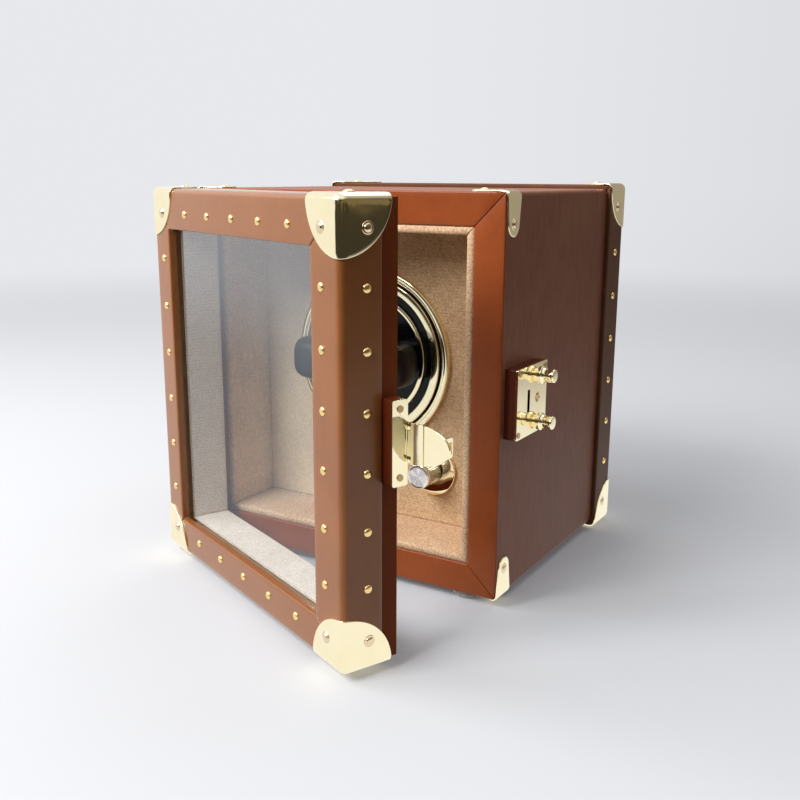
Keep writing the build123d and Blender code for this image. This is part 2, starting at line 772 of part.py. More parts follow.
def bolt_span_x():
    """Depth of the bolt in the lock, in the middle of the staple's eye."""
    middle = FLAP_AXIS_X - STAPLE_REACH + (STAPLE_REACH - KNUCKLE_LIFT - EYE_DEPTH) * 0.25 + EYE_DEPTH / 2
    return (middle - BOLT_T / 2, middle + BOLT_T / 2)


def lock_bolt():
    """Flat bolt that runs forwards through the staple's eye, slotted round the key barrel's tail."""
    x = bolt_span_x()
    bolt = block(x, (FRONT + BOLT_TIP, FRONT + BOLT_END), (MID_Z - BOLT_H / 2, MID_Z + BOLT_H / 2))
    slot_r = KEY_TAIL_R + KEY_CLEAR
    half = slot_r + TONGUE_WALL
    through = (x[0] - 1, x[1] + 1)
    key_y = FRONT + KEY_AT
    wide = block(through, (key_y, key_y + BOLT_TRAVEL), (MID_Z - slot_r, MID_Z + slot_r))
    ends = [rod_x(slot_r, through, key_y + travel, MID_Z) for travel in (0, BOLT_TRAVEL)]
    tongue = block(x, (key_y - half, FRONT + BOLT_END), (MID_Z - half, MID_Z + half))
    return bolt + tongue - wide - ends[0] - ends[1]


# Door

def door_rectangle():
    return (-HALF_W, HALF_W, 0, CASE_H)


def door_opening():
    return (-HALF_W + DOOR_HINGE_STILE, HALF_W - DOOR_LOCK_STILE, DOOR_BOTTOM_RAIL, CASE_H - DOOR_TOP_RAIL)


def rail_widths():
    return {"right": DOOR_LOCK_STILE, "left": DOOR_HINGE_STILE,
            "top": DOOR_TOP_RAIL, "bottom": DOOR_BOTTOM_RAIL}


def arm_slots():
    """Slots in the hinge stile that the fixed arms need while the door swings."""
    lean = math.radians(max(DOOR_SWING - 90, 0))
    drop = (PIVOT_INSET + 1) * math.tan(lean) + ARM_W / 2 / math.cos(lean) + ARM_CLEAR
    room = None
    for z in ARM_HEIGHTS:
        one = block((-HALF_W - 2, PIVOT_X + ARM_W / 2 + ARM_CLEAR), (PIVOT_Y - drop, DOOR_REAR + 1),
                    (z - ARM_T / 2 - ARM_CLEAR, z + ARM_T / 2 + ARM_CLEAR))
        room = one if room is None else room + one
    return room


def rounded_heel(rectangle, y, radius):
    """Block whose upright edge next to the hinge is rounded, to clear the case as the door swings."""
    body = block(rectangle[:2], y, rectangle[2:])
    edge = body.edges().filter_by(Axis.Z).group_by(Axis.X)[0].sort_by(Axis.Y)[-1]
    return fillet(edge, radius)


def make_door_frame():
    outside = door_rectangle()
    opening = door_opening()
    seat = grown(opening, GLASS_REBATE)
    widths = rail_widths()
    slots = arm_slots()
    front = DOOR_FRONT + DOOR_BAND_T
    inset = DOOR_BAND_T + DOOR_SKIN
    core_rear = DOOR_REAR - DOOR_SKIN

    def core_section(side):
        deep = rectangle_face((inset, widths[side] - GLASS_REBATE), (front, core_rear))
        lip = rectangle_face((inset, widths[side]), (front, front + GLASS_LIP))
        return deep + lip

    pins = [rod_z(PIN_R, (z - PIN_LEN / 2, z + PIN_LEN / 2), PIVOT_X, PIVOT_Y) for z in ARM_HEIGHTS]
    core = mitred_frame(outside, opening, core_section)
    inner = rounded_heel(grown(outside, -inset), (front - 1, core_rear), DOOR_HEEL_R - DOOR_SKIN)
    for side in core:
        core[side] = core[side] & inner
    core["left"] = core["left"] - slots - pins[0] - pins[1]
    write("door_core", *[door_pose(rail) for rail in core.values()])

    skin = rounded_heel(grown(outside, -DOOR_BAND_T), (front, DOOR_REAR), DOOR_HEEL_R)
    window = block(seat[:2], (front - 1, DOOR_REAR + 1), seat[2:])
    write("door_edge_skin", door_pose(skin - inner - window - slots))

    def band_section(side):
        face = rectangle_face((0, widths[side]), (DOOR_FRONT, front))
        return face + rectangle_face((0, DOOR_BAND_T), (DOOR_FRONT, DOOR_FRONT + DOOR_BAND_W))

    envelope = rounded_envelope(outside[:2], (DOOR_FRONT, DOOR_REAR), outside[2:], DOOR_EDGE_R, 0)
    band = mitred_frame(outside, opening, band_section)
    band["left"] = band["left"] - slots
    write("door_band", *[door_pose(strip & envelope) for strip in band.values()])


def make_door_inside():
    opening = door_opening()
    seat = grown(opening, GLASS_REBATE)
    glass_front = DOOR_FRONT + DOOR_BAND_T + GLASS_LIP + GLASS_CLEAR
    x0, x1, z0, z1 = grown(seat, -GLASS_CLEAR * 2)
    glass = block((x0, x1), (glass_front, glass_front + GLASS_T), (z0, z1))
    write("door_glass", door_pose(glass))
    walls = grown(seat, -GLASS_CLEAR)
    lining = rectangle_face((0, GLASS_REBATE - GLASS_CLEAR),
                            (glass_front + GLASS_T + GLASS_CLEAR, DOOR_REAR - DOOR_LINING_SETBACK))
    rear_corners = lining.vertices().group_by(Axis.Y)[-1]
    lining = fillet(rear_corners, LINER_BEAD_R - 0.3)
    strips = mitred_frame(walls, opening, lambda side: lining)
    write("door_lining", *[door_pose(strip) for strip in strips.values()])


def make_door_brass():
    caps = cap_set(HALF_W, DOOR_FRONT, -1, 0, CASE_H, DOOR_EDGE_R)
    write("door_corner_caps", *[door_pose(piece) for piece in caps])
    head = dome(NAIL_R, NAIL_H)
    side_y = DOOR_FRONT + DOOR_NAIL_SIDE
    nails = []
    for z in nail_rows():
        nails.append(facing(head, (HALF_W - DOOR_NAIL_LOCK, DOOR_FRONT, z), (0, -1, 0)))
        nails.append(facing(head, (-HALF_W + DOOR_NAIL_HINGE, DOOR_FRONT, z), (0, -1, 0)))
        nails.append(facing(head, (HALF_W, side_y, z), (1, 0, 0)))
        nails.append(facing(head, (-HALF_W, side_y, z), (-1, 0, 0)))
    for x in nail_columns():
        nails.append(facing(head, (x, DOOR_FRONT, CASE_H - DOOR_NAIL_TOP), (0, -1, 0)))
        nails.append(facing(head, (x, DOOR_FRONT, DOOR_NAIL_BOTTOM), (0, -1, 0)))
    write("door_nails", *[door_pose(nail) for nail in nails])


# Hasp

def make_hasp():
    skin_x = HALF_W - DOOR_BAND_T
    face = HALF_W + HASP_BLOCK_T
    y = (DOOR_REAR - HASP_SETBACK - HASP_W, DOOR_REAR - HASP_SETBACK)
    z = (MID_Z - HASP_H / 2, MID_Z + HASP_H / 2)
    body = block((skin_x, face), y, z)
    body = fillet(body.edges().filter_by(Axis.X), LOCK_EDGE_R)
    plate = block((face, BRASS_FACE), y, z)
    plate = fillet(plate.edges().filter_by(Axis.X), LOCK_EDGE_R)
    ends = ((MID_Z - KNUCKLE_H / 2, MID_Z - FLAP_KNUCKLE_H / 2 - KNUCKLE_GAP),
            (MID_Z + FLAP_KNUCKLE_H / 2 + KNUCKLE_GAP, MID_Z + KNUCKLE_H / 2))
    for span in ends:
        plate += rod_z(KNUCKLE_R, span, FLAP_AXIS_X, FLAP_AXIS_Y)
        plate += block((face, BRASS_FACE), (y[1] - 1, FLAP_AXIS_Y), span)
    plate -= rod_z(HASP_PIN_R, z, FLAP_AXIS_X, FLAP_AXIS_Y)
    plate -= rod_z(KNUCKLE_R + KNUCKLE_GAP, (ends[0][1], ends[1][0]), FLAP_AXIS_X, FLAP_AXIS_Y)
    middle = (y[0] + y[1]) / 2
    places = [(middle, z[0] + HASP_SCREW_FROM_END), (middle, z[1] - HASP_SCREW_FROM_END)]
    for sy, sz in places:
        hole = rod_x(SCREW_R, (HALF_W + 1, BRASS_FACE + 1), sy, sz)
        body -= hole
        plate -= hole
    write("hasp_block", door_pose(body))
    write("hasp_plate", door_pose(plate))
    write("hasp_screws", *[door_pose(screw_x(sy, sz)) for sy, sz in places])
    pin = rod_z(HASP_PIN_R, (MID_Z - KNUCKLE_H / 2, MID_Z + KNUCKLE_H / 2), FLAP_AXIS_X, FLAP_AXIS_Y)
    write("hasp_pin", door_pose(pin))
    write("hasp_flap", flap_pose(hasp_flap()))


def screw_x(y, z):
    """Small brass screw along X, with its head on the brass plate."""
    shank = rod_x(SCREW_R, (HALF_W + 1, BRASS_FACE), y, z)
    return shank + rod_x(SCREW_HEAD_R, (BRASS_FACE, BRASS_FACE + SCREW_HEAD_H), y, z)


def hasp_flap():
    """D shaped leaf with a joggle, its knuckle, and the staple on its inner face, drawn closed."""
    half = FLAP_H / 2
    bow = FLAP_LEN - FLAP_STRAIGHT
    start = FLAP_AXIS_Y + FLAP_START
    bend = FLAP_AXIS_Y + FLAP_STRAIGHT
    tip = FLAP_AXIS_Y + FLAP_LEN
    ellipse = Plane.YZ * Pos(bend, MID_Z) * Ellipse(bow, half)
    outline = extrude(ellipse, amount=FAR, dir=(1, 0, 0), both=True)
    straight = block((-FAR, FAR), (start, bend), (MID_Z - half, MID_Z + half))
    outline = (outline & block((-FAR, FAR), (bend - 0.01, tip + 1), (0, CASE_H))) + straight
    step = FLAP_AXIS_Y + FLAP_JOGGLE_AT
    near = block((FLAP_AXIS_X, FLAP_AXIS_X + BRASS_T), (start, step), (0, CASE_H))
    low = FLAP_AXIS_X - FLAP_JOGGLE
    far = block((low, low + BRASS_T), (step - 1, tip + 1), (0, CASE_H))
    leaf = (near + far) & outline
    span = (MID_Z - FLAP_KNUCKLE_H / 2, MID_Z + FLAP_KNUCKLE_H / 2)
    leaf += rod_z(KNUCKLE_R, span, FLAP_AXIS_X, FLAP_AXIS_Y)
    leaf += block((FLAP_AXIS_X, FLAP_AXIS_X + KNUCKLE_R), (FLAP_AXIS_Y, start + 0.5), span)
    leaf -= rod_z(HASP_PIN_R + HASP_PIN_RUN, (span[0] - 1, span[1] + 1), FLAP_AXIS_X, FLAP_AXIS_Y)
    return leaf + staple()


def staple():
    """Loop that goes through the lock plate, with an eye for the bolt."""
    y = FLAP_AXIS_Y + STAPLE_AT
    span = (y - STAPLE_T / 2, y + STAPLE_T / 2)
    root = FLAP_AXIS_X - FLAP_JOGGLE + 0.2
    loop = block((FLAP_AXIS_X - STAPLE_REACH, root), span, (MID_Z - STAPLE_H / 2, MID_Z + STAPLE_H / 2))
    inner_end = loop.edges().filter_by(Axis.Y).group_by(Axis.X)[0]
    loop = fillet(inner_end, 1.5)
    x = bolt_span_x()
    middle = (x[0] + x[1]) / 2
    eye = block((middle - EYE_DEPTH / 2, middle + EYE_DEPTH / 2), (span[0] - 1, span[1] + 1),
                (MID_Z - EYE_H / 2, MID_Z + EYE_H / 2))
    return loop - eye


# Rotor, cushion and drive

def make_rotor():
    bezel = tube_y(BEZEL_R, BEZEL_BORE_R, (PANEL_Y - BEZEL_PROUD, PANEL_Y), 0, ROTOR_Z)
    bezel = fillet(bezel.edges().filter_by(GeomType.CIRCLE).group_by(Axis.Y)[0], BEZEL_EDGE_R)
    bezel += tube_y(BEZEL_BORE_R + BEZEL_WALL, BEZEL_BORE_R, (PANEL_Y - 0.5, PANEL_BACK), 0, ROTOR_Z)
    write("rotor_bezel", bezel)

    y = ROTOR_Y
    cup_out = CUP_R + CUP_WALL
    floor = y + CUP_DEPTH
    dish = [(SHAFT_R, floor), (CUP_R, floor), (CUP_R, y), (ROTOR_R, y), (ROTOR_R, y + ROTOR_FLANGE_T),
            (cup_out, y + ROTOR_FLANGE_T), (cup_out, floor + CUP_BASE_T), (HUB_R, floor + CUP_BASE_T),
            (HUB_R, floor + CUP_BASE_T + HUB_LEN), (SHAFT_R, floor + CUP_BASE_T + HUB_LEN)]
    write("rotor_dish", turned_y(dish, 0, ROTOR_Z))
    for name, outer, bore in (("rotor_outer_trim", OUTER_TRIM_R, OUTER_TRIM_BORE_R),
                              ("rotor_inner_trim", INNER_TRIM_R, INNER_TRIM_BORE_R)):
        ring = [(bore, y), (bore, y - TRIM_T + TRIM_BEVEL), (bore + TRIM_BEVEL, y - TRIM_T),
                (outer - TRIM_BEVEL, y - TRIM_T), (outer, y - TRIM_T + TRIM_BEVEL), (outer, y)]
        write(name, turned_y(ring, 0, ROTOR_Z))


def make_cushion():
    back = FRONT + CUSHION_FRONT + CUSHION_T
    middle = back - CUSHION_T / 2
    shares = ((1.0, 0.7), (0.965, 0.86), (0.88, 0.955), (0.55, 0.985), (0.0, 1.0))
    stations = [(-along, size) for along, size in shares] + list(reversed(shares[:-1]))
    sections = []
    for along, size in stations:
        plane = Plane(origin=(along * CUSHION_L / 2, middle, ROTOR_Z), x_dir=(0, 1, 0), z_dir=(1, 0, 0))
        sections.append(plane * RectangleRounded(CUSHION_T * size, CUSHION_H * size, CUSHION_R * size))
    pad = loft(sections)
    flat = block((-FAR, FAR), (FRONT - FAR, back - 0.2), (0, CASE_H))
    write("watch_cushion", pad & flat)

    plate = (back - 0.2, back - 0.2 + CORE_PLATE_T)
    core = block((-CORE_PLATE_W / 2, CORE_PLATE_W / 2), plate,
                 (ROTOR_Z - CORE_PLATE_H / 2, ROTOR_Z + CORE_PLATE_H / 2))
    core = fillet(core.edges().filter_by(Axis.Y), 3)
    for x in (-PRONG_X, PRONG_X):
        core += block((x - PRONG_W / 2, x + PRONG_W / 2), (plate[1] - 0.5, plate[1] + PRONG_LEN),
                      (ROTOR_Z - PRONG_H / 2, ROTOR_Z + PRONG_H / 2))
    write("cushion_core", core)

    hole_w = PRONG_W / 2 + CORE_CLEAR
    hole_h = PRONG_H / 2 + CORE_CLEAR
    span = (plate[1] + CORE_CLEAR, ROTOR_Y + CUP_DEPTH)
    sockets = []
    for x in (-PRONG_X, PRONG_X):
        socket = block((x - hole_w - SOCKET_WALL, x + hole_w + SOCKET_WALL), span,
                       (ROTOR_Z - hole_h - SOCKET_WALL, ROTOR_Z + hole_h + SOCKET_WALL))
        socket = fillet(socket.edges().filter_by(Axis.Y), 1.5)
        hole = block((x - hole_w, x + hole_w), (span[0] - 1, span[1] + 1),
                     (ROTOR_Z - hole_h, ROTOR_Z + hole_h))
        sockets.append(socket - hole)
    write("cushion_sockets", *sockets)


def gear(teeth, span, x, z, bore, first):
    """Spur gear along Y with straight sided teeth, the first at an angle in degrees from +X."""
    pitch_r = GEAR_MODULE * teeth / 2
    root = pitch_r - 1.2 * GEAR_MODULE
    tip = pitch_r + 0.9 * GEAR_MODULE
    step = 2 * math.pi / teeth
    points = []
    for k in range(teeth):
        middle = math.radians(first) + k * step
        for radius, share in ((root, -0.27), (tip, -0.12), (tip, 0.12), (root, 0.27)):
            angle = middle + share * step
            points.append((x + radius * math.cos(angle), span[0], z + radius * math.sin(angle)))
    outline = make_face(Polyline(*points, close=True))
    wheel = extrude(outline, amount=span[1] - span[0], dir=(0, 1, 0))
    return wheel - rod_y(bore, (span[0] - 1, span[1] + 1), x, z)


def make_drive():
    floor = ROTOR_Y + CUP_DEPTH
    rear_end = REAR_PLATE_Y + DRIVE_PLATE_T + 1.5
    write("rotor_shaft", rod_y(SHAFT_R, (floor, rear_end), 0, ROTOR_Z))
    gear_y = DRIVE_Y + DRIVE_PLATE_T + 2.5
    wheel = gear(GEAR_TEETH, (gear_y, gear_y + GEAR_T), 0, ROTOR_Z, SHAFT_R, -90)
    wheel += tube_y(GEAR_HUB_R, SHAFT_R, (gear_y - GEAR_HUB_T, gear_y + GEAR_T), 0, ROTOR_Z)
    write("rotor_gear", wheel)

    pinion_y = gear_y + GEAR_T / 2 - PINION_T / 2
    first = 90 + 180 / PINION_TEETH
    pinion = gear(PINION_TEETH, (pinion_y, pinion_y + PINION_T), 0, MOTOR_Z, MOTOR_SHAFT_R, first)
    write("motor_pinion", pinion)
    motor_y = REAR_PLATE_Y + DRIVE_PLATE_T
    write("motor_shaft", rod_y(MOTOR_SHAFT_R, (pinion_y - 0.5, motor_y + MOTOR_SHAFT_DEPTH), 0, MOTOR_Z))
    motor = rod_y(MOTOR_R, (motor_y, motor_y + MOTOR_LEN), 0, MOTOR_Z)
    motor = fillet(motor.edges().filter_by(GeomType.CIRCLE).group_by(Axis.Y)[-1], 1.0)
    motor += rod_y(MOTOR_BOSS_R, (REAR_PLATE_Y, motor_y + 0.5), 0, MOTOR_Z)
    motor -= rod_y(MOTOR_SHAFT_R + SHAFT_RUN, (REAR_PLATE_Y - 1, motor_y + MOTOR_SHAFT_DEPTH + 1), 0, MOTOR_Z)
    screws = []
    rear_holes = rod_y(MOTOR_BOSS_R, (REAR_PLATE_Y - 1, motor_y + 1), 0, MOTOR_Z)
    for side in (-1, 1):
        x = side * MOTOR_SCREW_SPREAD
        shank = rod_y(MOTOR_SCREW_R, (REAR_PLATE_Y, motor_y + 3), x, MOTOR_Z)
        motor -= shank
        rear_holes += shank
        screws.append(shank + rod_y(MOTOR_SCREW_HEAD_R, (REAR_PLATE_Y - 1.2, REAR_PLATE_Y), x, MOTOR_Z))
    write("motor", motor)
    write("motor_screws", *screws)

    plate_z = (ROTOR_Z - PILLAR_DOWN - PLATE_MARGIN, ROTOR_Z + STANDOFF_Z + PLATE_MARGIN)
    half = DRIVE_PLATE_W / 2
    front = block((-half, half), (DRIVE_Y, DRIVE_Y + DRIVE_PLATE_T), plate_z)
    front = fillet(front.edges().filter_by(Axis.Y), 4)
    front -= rod_y(BUSH_R, (DRIVE_Y - 1, DRIVE_Y + DRIVE_PLATE_T + 1), 0, ROTOR_Z)
    write("drive_front_plate", front)
    rear_half = PILLAR_X + PLATE_MARGIN
    rear = block((-rear_half, rear_half), (REAR_PLATE_Y, motor_y),
                 (ROTOR_Z - PILLAR_DOWN - PLATE_MARGIN, ROTOR_Z + PILLAR_UP + PLATE_MARGIN))
    rear = fillet(rear.edges().filter_by(Axis.Y), 4)
    rear -= rod_y(BUSH_R, (REAR_PLATE_Y - 1, motor_y + 1), 0, ROTOR_Z)
    write("drive_rear_plate", rear - rear_holes)

    pillars = []
    for x in (-1, 1):
        for z in (-1, 1):
            pillars.append(rod_y(PILLAR_R, (PANEL_BACK, DRIVE_Y), x * STANDOFF_X, ROTOR_Z + z * STANDOFF_Z))
        for z in (-PILLAR_DOWN, PILLAR_UP):
            plates = (DRIVE_Y + DRIVE_PLATE_T, REAR_PLATE_Y)
            pillars.append(rod_y(PILLAR_R, plates, x * PILLAR_X, ROTOR_Z + z))
    write("drive_pillars", *pillars)

    bushes = []
    for y in (DRIVE_Y, REAR_PLATE_Y):
        bush = rod_y(BUSH_R, (y, y + DRIVE_PLATE_T), 0, ROTOR_Z)
        bush += rod_y(BUSH_FLANGE_R, (y - BUSH_FLANGE_T, y), 0, ROTOR_Z)
        bushes.append(bush - rod_y(SHAFT_R + SHAFT_RUN, (y - 5, y + 5), 0, ROTOR_Z))
    write("shaft_bushes", *bushes)


# Selector, control board and power inlet

def make_selector():
    disc_y = PANEL_Y - DISC_T
    neck_y = disc_y + NECK_SETBACK
    disc = tube_y(DISC_R, NECK_R, (disc_y, PANEL_Y), KNOB_X, KNOB_Z)
    write("knob_disc", disc)
    half = SWITCH_W / 2
    switch = block((KNOB_X - half, KNOB_X + half), (PANEL_BACK, PANEL_BACK + SWITCH_D),
                   (KNOB_Z - half, KNOB_Z + half))
    switch += rod_y(NECK_R, (neck_y, PANEL_BACK + 1), KNOB_X, KNOB_Z)
    bore_end = PANEL_BACK + SWITCH_D - 2
    switch -= rod_y(SELECTOR_SHAFT_R + SELECTOR_RUN, (neck_y - 1, bore_end), KNOB_X, KNOB_Z)
    write("selector_switch", switch)
    knob_back = disc_y - KNOB_GAP
    knob_front = knob_back - KNOB_LEN
    write("selector_shaft", rod_y(SELECTOR_SHAFT_R, (knob_back - KNOB_SOCKET, bore_end - 1), KNOB_X, KNOB_Z))
    knob = rod_y(KNOB_R, (knob_front, knob_back), KNOB_X, KNOB_Z)
    for k in range(KNOB_FLUTES):
        angle = 2 * math.pi * k / KNOB_FLUTES
        x = KNOB_X + KNOB_R * math.cos(angle)
        z = KNOB_Z + KNOB_R * math.sin(angle)
        knob -= rod_y(KNOB_FLUTE_R, (knob_front + KNOB_RIM, knob_back + 1), x, z)
    knob -= rod_y(SELECTOR_SHAFT_R, (knob_back - KNOB_SOCKET, knob_back + 1), KNOB_X, KNOB_Z)
    write("selector_knob", knob)


def make_electrics():
    z0 = RAIL_W + PCB_LIFT
    y = (BACK - PCB_FROM_BACK - PCB_D, BACK - PCB_FROM_BACK)
    board = block((-PCB_W / 2, PCB_W / 2), y, (z0, z0 + PCB_T))
    top = z0 + PCB_T
    middle = (y[0] + y[1]) / 2
    chip = block((-CHIP_W / 2, CHIP_W / 2), (middle - CHIP_D / 2, middle + CHIP_D / 2), (top, top + CHIP_T))
    can = rod_z(CAN_R, (top, top + CAN_H), PCB_W / 2 - CAN_INSET, y[0] + CAN_INSET)
    socket_x = PLUG_INSET - PCB_W / 2
    socket_y = (y[1] - PLUG_INSET - PLUG_D, y[1] - PLUG_INSET)
    socket = block((socket_x, socket_x + PLUG_W), socket_y, (top, top + PLUG_H))
    write("control_board", board, chip, can, socket)
    posts = []
    for x in (-1, 1):
        for end in (y[0] + PCB_POST_INSET, y[1] - PCB_POST_INSET):
            posts.append(rod_z(PCB_POST_R, (RAIL_W, z0), x * (PCB_W / 2 - PCB_POST_INSET), end))
    write("board_standoffs", *posts)

    face = BACK + BACK_PANEL_T
    inlet = rod_y(INLET_FLANGE_R, (face, face + INLET_FLANGE_T), INLET_X, INLET_Z)
    inlet += rod_y(INLET_R, (face - INLET_LEN, face + 0.1), INLET_X, INLET_Z)
    inlet -= rod_y(INLET_BORE_R, (face + INLET_FLANGE_T - INLET_BORE_DEPTH, face + 5), INLET_X, INLET_Z)
    inlet += rod_y(INLET_PIN_R, (face - INLET_BORE_DEPTH, face), INLET_X, INLET_Z)
    write("power_inlet", inlet)
    write("inlet_nut", hexagon_y(INLET_NUT_R, INLET_R, (BACK - INLET_NUT_T, BACK), INLET_X, INLET_Z))


def make_case_screws():
    screws = [screw_x(y, z) for y, z in lock_screw_places()]
    face = BACK + BACK_PANEL_T
    for x, z in back_screw_places():
        shank = rod_y(BACK_SCREW_R, (BACK - BACK_SCREW_LEN, face), x, z)
        head = facing(dome(BACK_SCREW_HEAD_R, BACK_SCREW_HEAD_H), (x, face, z), (0, 1, 0))
        screws.append(shank + head)
    write("case_screws", *screws)


os.makedirs("parts", exist_ok=True)
make_boards()
make_sleeve()
make_front_rails()
make_recess()
make_back()
make_case_brass()
make_feet()
make_hinge()
make_lock()
make_case_screws()
make_door_frame()
make_door_inside()
make_door_brass()
make_hasp()
make_rotor()
make_cushion()
make_drive()
make_selector()
make_electrics()
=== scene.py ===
"""Looks of a leather trunk watch winder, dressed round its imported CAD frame.

Shapes are worked out in millimetres in the frame's own axes: +X right, +Y back, +Z up, with the origin at
the centre of the case's underside. Skin turns them into metres. Pieces of the door are drawn on the closed
door and then swung to where it stands open.
"""
import logging
import math
from dataclasses import dataclass
from enum import Enum
from typing import Callable, Iterable, Sequence

import bmesh
import bpy
import numpy as np
from mathutils import Matrix, Vector


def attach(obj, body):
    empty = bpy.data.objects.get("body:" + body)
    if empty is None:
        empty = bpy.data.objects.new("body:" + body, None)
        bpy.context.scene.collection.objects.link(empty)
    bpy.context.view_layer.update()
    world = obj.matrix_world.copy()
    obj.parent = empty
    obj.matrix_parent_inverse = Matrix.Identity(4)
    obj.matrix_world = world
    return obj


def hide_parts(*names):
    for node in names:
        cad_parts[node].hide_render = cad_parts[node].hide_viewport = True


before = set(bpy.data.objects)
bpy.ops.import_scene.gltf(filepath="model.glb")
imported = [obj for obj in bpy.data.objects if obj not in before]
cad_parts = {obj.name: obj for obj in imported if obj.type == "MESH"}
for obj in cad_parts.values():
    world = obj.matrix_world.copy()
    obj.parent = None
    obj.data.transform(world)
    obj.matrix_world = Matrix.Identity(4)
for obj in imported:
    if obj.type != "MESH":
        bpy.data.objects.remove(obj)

log = logging.getLogger("winder")
MM = 0.001

# Distances in metres below which points are merged, edges collapse and a CAD node's points are welded
MERGED = 2e-6
COLLAPSED = 1e-7
WELDED = 1e-6

# Rings of points in each rolled end of a strip, and steps across a bevel
ROLL_STEPS = 7
BEVEL_STEPS = 2

Colour = tuple[float, float, float]
Rectangle = tuple[float, float, float, float]
Box = tuple[Sequence[float], Sequence[float], float]
Points = np.ndarray


class Body(Enum):
    """Bodies that the new pieces ride on."""

    CASE = "case"
    DOOR = "door"
    ROTOR = "rotor"
    CUSHION = "cushion"
    SELECTOR = "selector"


class Slot(Enum):
    """Names of material slots that go with the new pieces; this script does not read them."""

    TRIM_LEATHER = "trim_leather"
    SUEDE = "suede"
    BRASS = "brass"
    RUBBER = "clear_rubber"
    BLACK_GLOSS = "black_gloss"
    BLACK_LEATHER = "black_leather"
    MIRROR = "mirror_gold"
    KNOB = "knob_metal"


class Side(Enum):
    """Sides of a mitred frame, seen from the front."""

    LEFT = "left"
    RIGHT = "right"
    TOP = "top"
    BOTTOM = "bottom"


# Sizes shared by the sub-assemblies, in millimetres

@dataclass(frozen=True)
class CaseSizes:
    """Outside of the case and the depths that its pieces are set from."""

    half_width: float = 100.0
    height: float = 212.0
    front: float = -82.5
    back: float = 82.5
    rail: float = 17.0
    liner: float = 4.5
    recess: float = 37.0
    band: float = 2.5
    edge: float = 2.5

    @property
    def outline(self) -> Rectangle:
        """Outer rectangle of the case front, as x0, x1, z0, z1."""
        return (-self.half_width, self.half_width, 0.0, self.height)

    @property
    def panel(self) -> float:
        """Depth of the winder panel's face."""
        return self.front + self.recess

    @property
    def middle(self) -> float:
        """Height of the case's middle."""
        return self.height / 2


CASE = CaseSizes()


@dataclass(frozen=True)
class DoorSizes:
    """Closed door: its faces, rails, pivot and how far it stands open."""

    front: float = -113.1
    rear: float = -83.1
    hinge_stile: float = 20.0
    lock_stile: float = 24.0
    top_rail: float = 22.0
    bottom_rail: float = 20.0
    edge: float = 3.0
    skin: float = 1.2
    wrap: float = 21.4
    pivot: tuple[float, float] = (-95.0, -94.0)
    open_angle: float = 23.5
    rebate: float = 4.0

    @property
    def widths(self) -> dict[Side, float]:
        """Width of the rail or stile on each side."""
        return {Side.LEFT: self.hinge_stile, Side.RIGHT: self.lock_stile,
                Side.TOP: self.top_rail, Side.BOTTOM: self.bottom_rail}

    @property
    def opening(self) -> Rectangle:
        """Rectangle of the window."""
        x0, x1, z0, z1 = CASE.outline
        return (x0 + self.hinge_stile, x1 - self.lock_stile, z0 + self.bottom_rail, z1 - self.top_rail)

    def swung(self, points: Points) -> Points:
        """Points drawn on the closed door, turned about the pivot to the open door.

        The free edge turns towards the front: x and y offsets from the pivot are multiplied by the rotation
        matrix of the open angle, and z stays.

        Args:
            points: any array whose last axis is x, y, z.
        Returns:
            The turned points, in an array of the same shape.
        """
        angle = math.radians(-self.open_angle)
        c, s = math.cos(angle), math.sin(angle)
        px, py = self.pivot
        dx, dy = points[..., 0] - px, points[..., 1] - py
        return np.stack([px + c * dx - s * dy, py + s * dx + c * dy, points[..., 2]], axis=-1)


DOOR = DoorSizes()


# Shapes as arrays

def arc(centre: tuple[float, float], radius: float, start: float, end: float, steps: int = 6) -> Points:
    """Points on a circle: centre + radius * (cos a, sin a), with a going evenly from start to end.

    Args:
        centre: centre of the circle.
        radius: its radius.
        start: first angle in degrees.
        end: last angle in degrees.
        steps: number of points.
    Returns:
        Array of (steps, 2).
    """
    angle = np.radians(np.linspace(start, end, steps))
    return np.stack([centre[0] + radius * np.cos(angle), centre[1] + radius * np.sin(angle)], axis=-1)


def joined(*parts: Sequence) -> Points:
    """One profile from points and arcs given in order."""
    return np.concatenate([np.atleast_2d(np.asarray(part, float)) for part in parts])


def divided(profile: Points, spacing: float) -> Points:
    """Profile with points added so that no step is longer than the spacing.

    Each run between two points is cut into equal parts by straight interpolation.

    Args:
        profile: array of (n, 2).
        spacing: longest step wanted.
    Returns:
        Array of (m, 2) with m >= n.
    """
    steps = np.linalg.norm(np.diff(profile, axis=0), axis=1)
    counts = np.maximum(1, np.ceil(steps / spacing).astype(int))
    starts = np.repeat(np.arange(len(counts)), counts)
    order = np.arange(counts.sum()) - np.repeat(np.cumsum(counts) - counts, counts)
    share = (order / counts[starts])[:, None]
    inner = profile[starts] * (1 - share) + profile[starts + 1] * share
    return np.vstack([inner, profile[-1:]])


def inset(profile: Points, depth: float) -> Points:
    """Profile moved sideways by a depth.

    Each point moves along its normal, which is the tangent turned a quarter to the left.

    Args:
        profile: array of (n, 2).
        depth: distance, negative to move to the right.
    Returns:
        Array of (n, 2).
    """
    tangent = np.gradient(profile, axis=0)
    tangent /= np.maximum(np.linalg.norm(tangent, axis=1, keepdims=True), 1e-9)
    return profile + depth * np.stack([-tangent[:, 1], tangent[:, 0]], axis=-1)


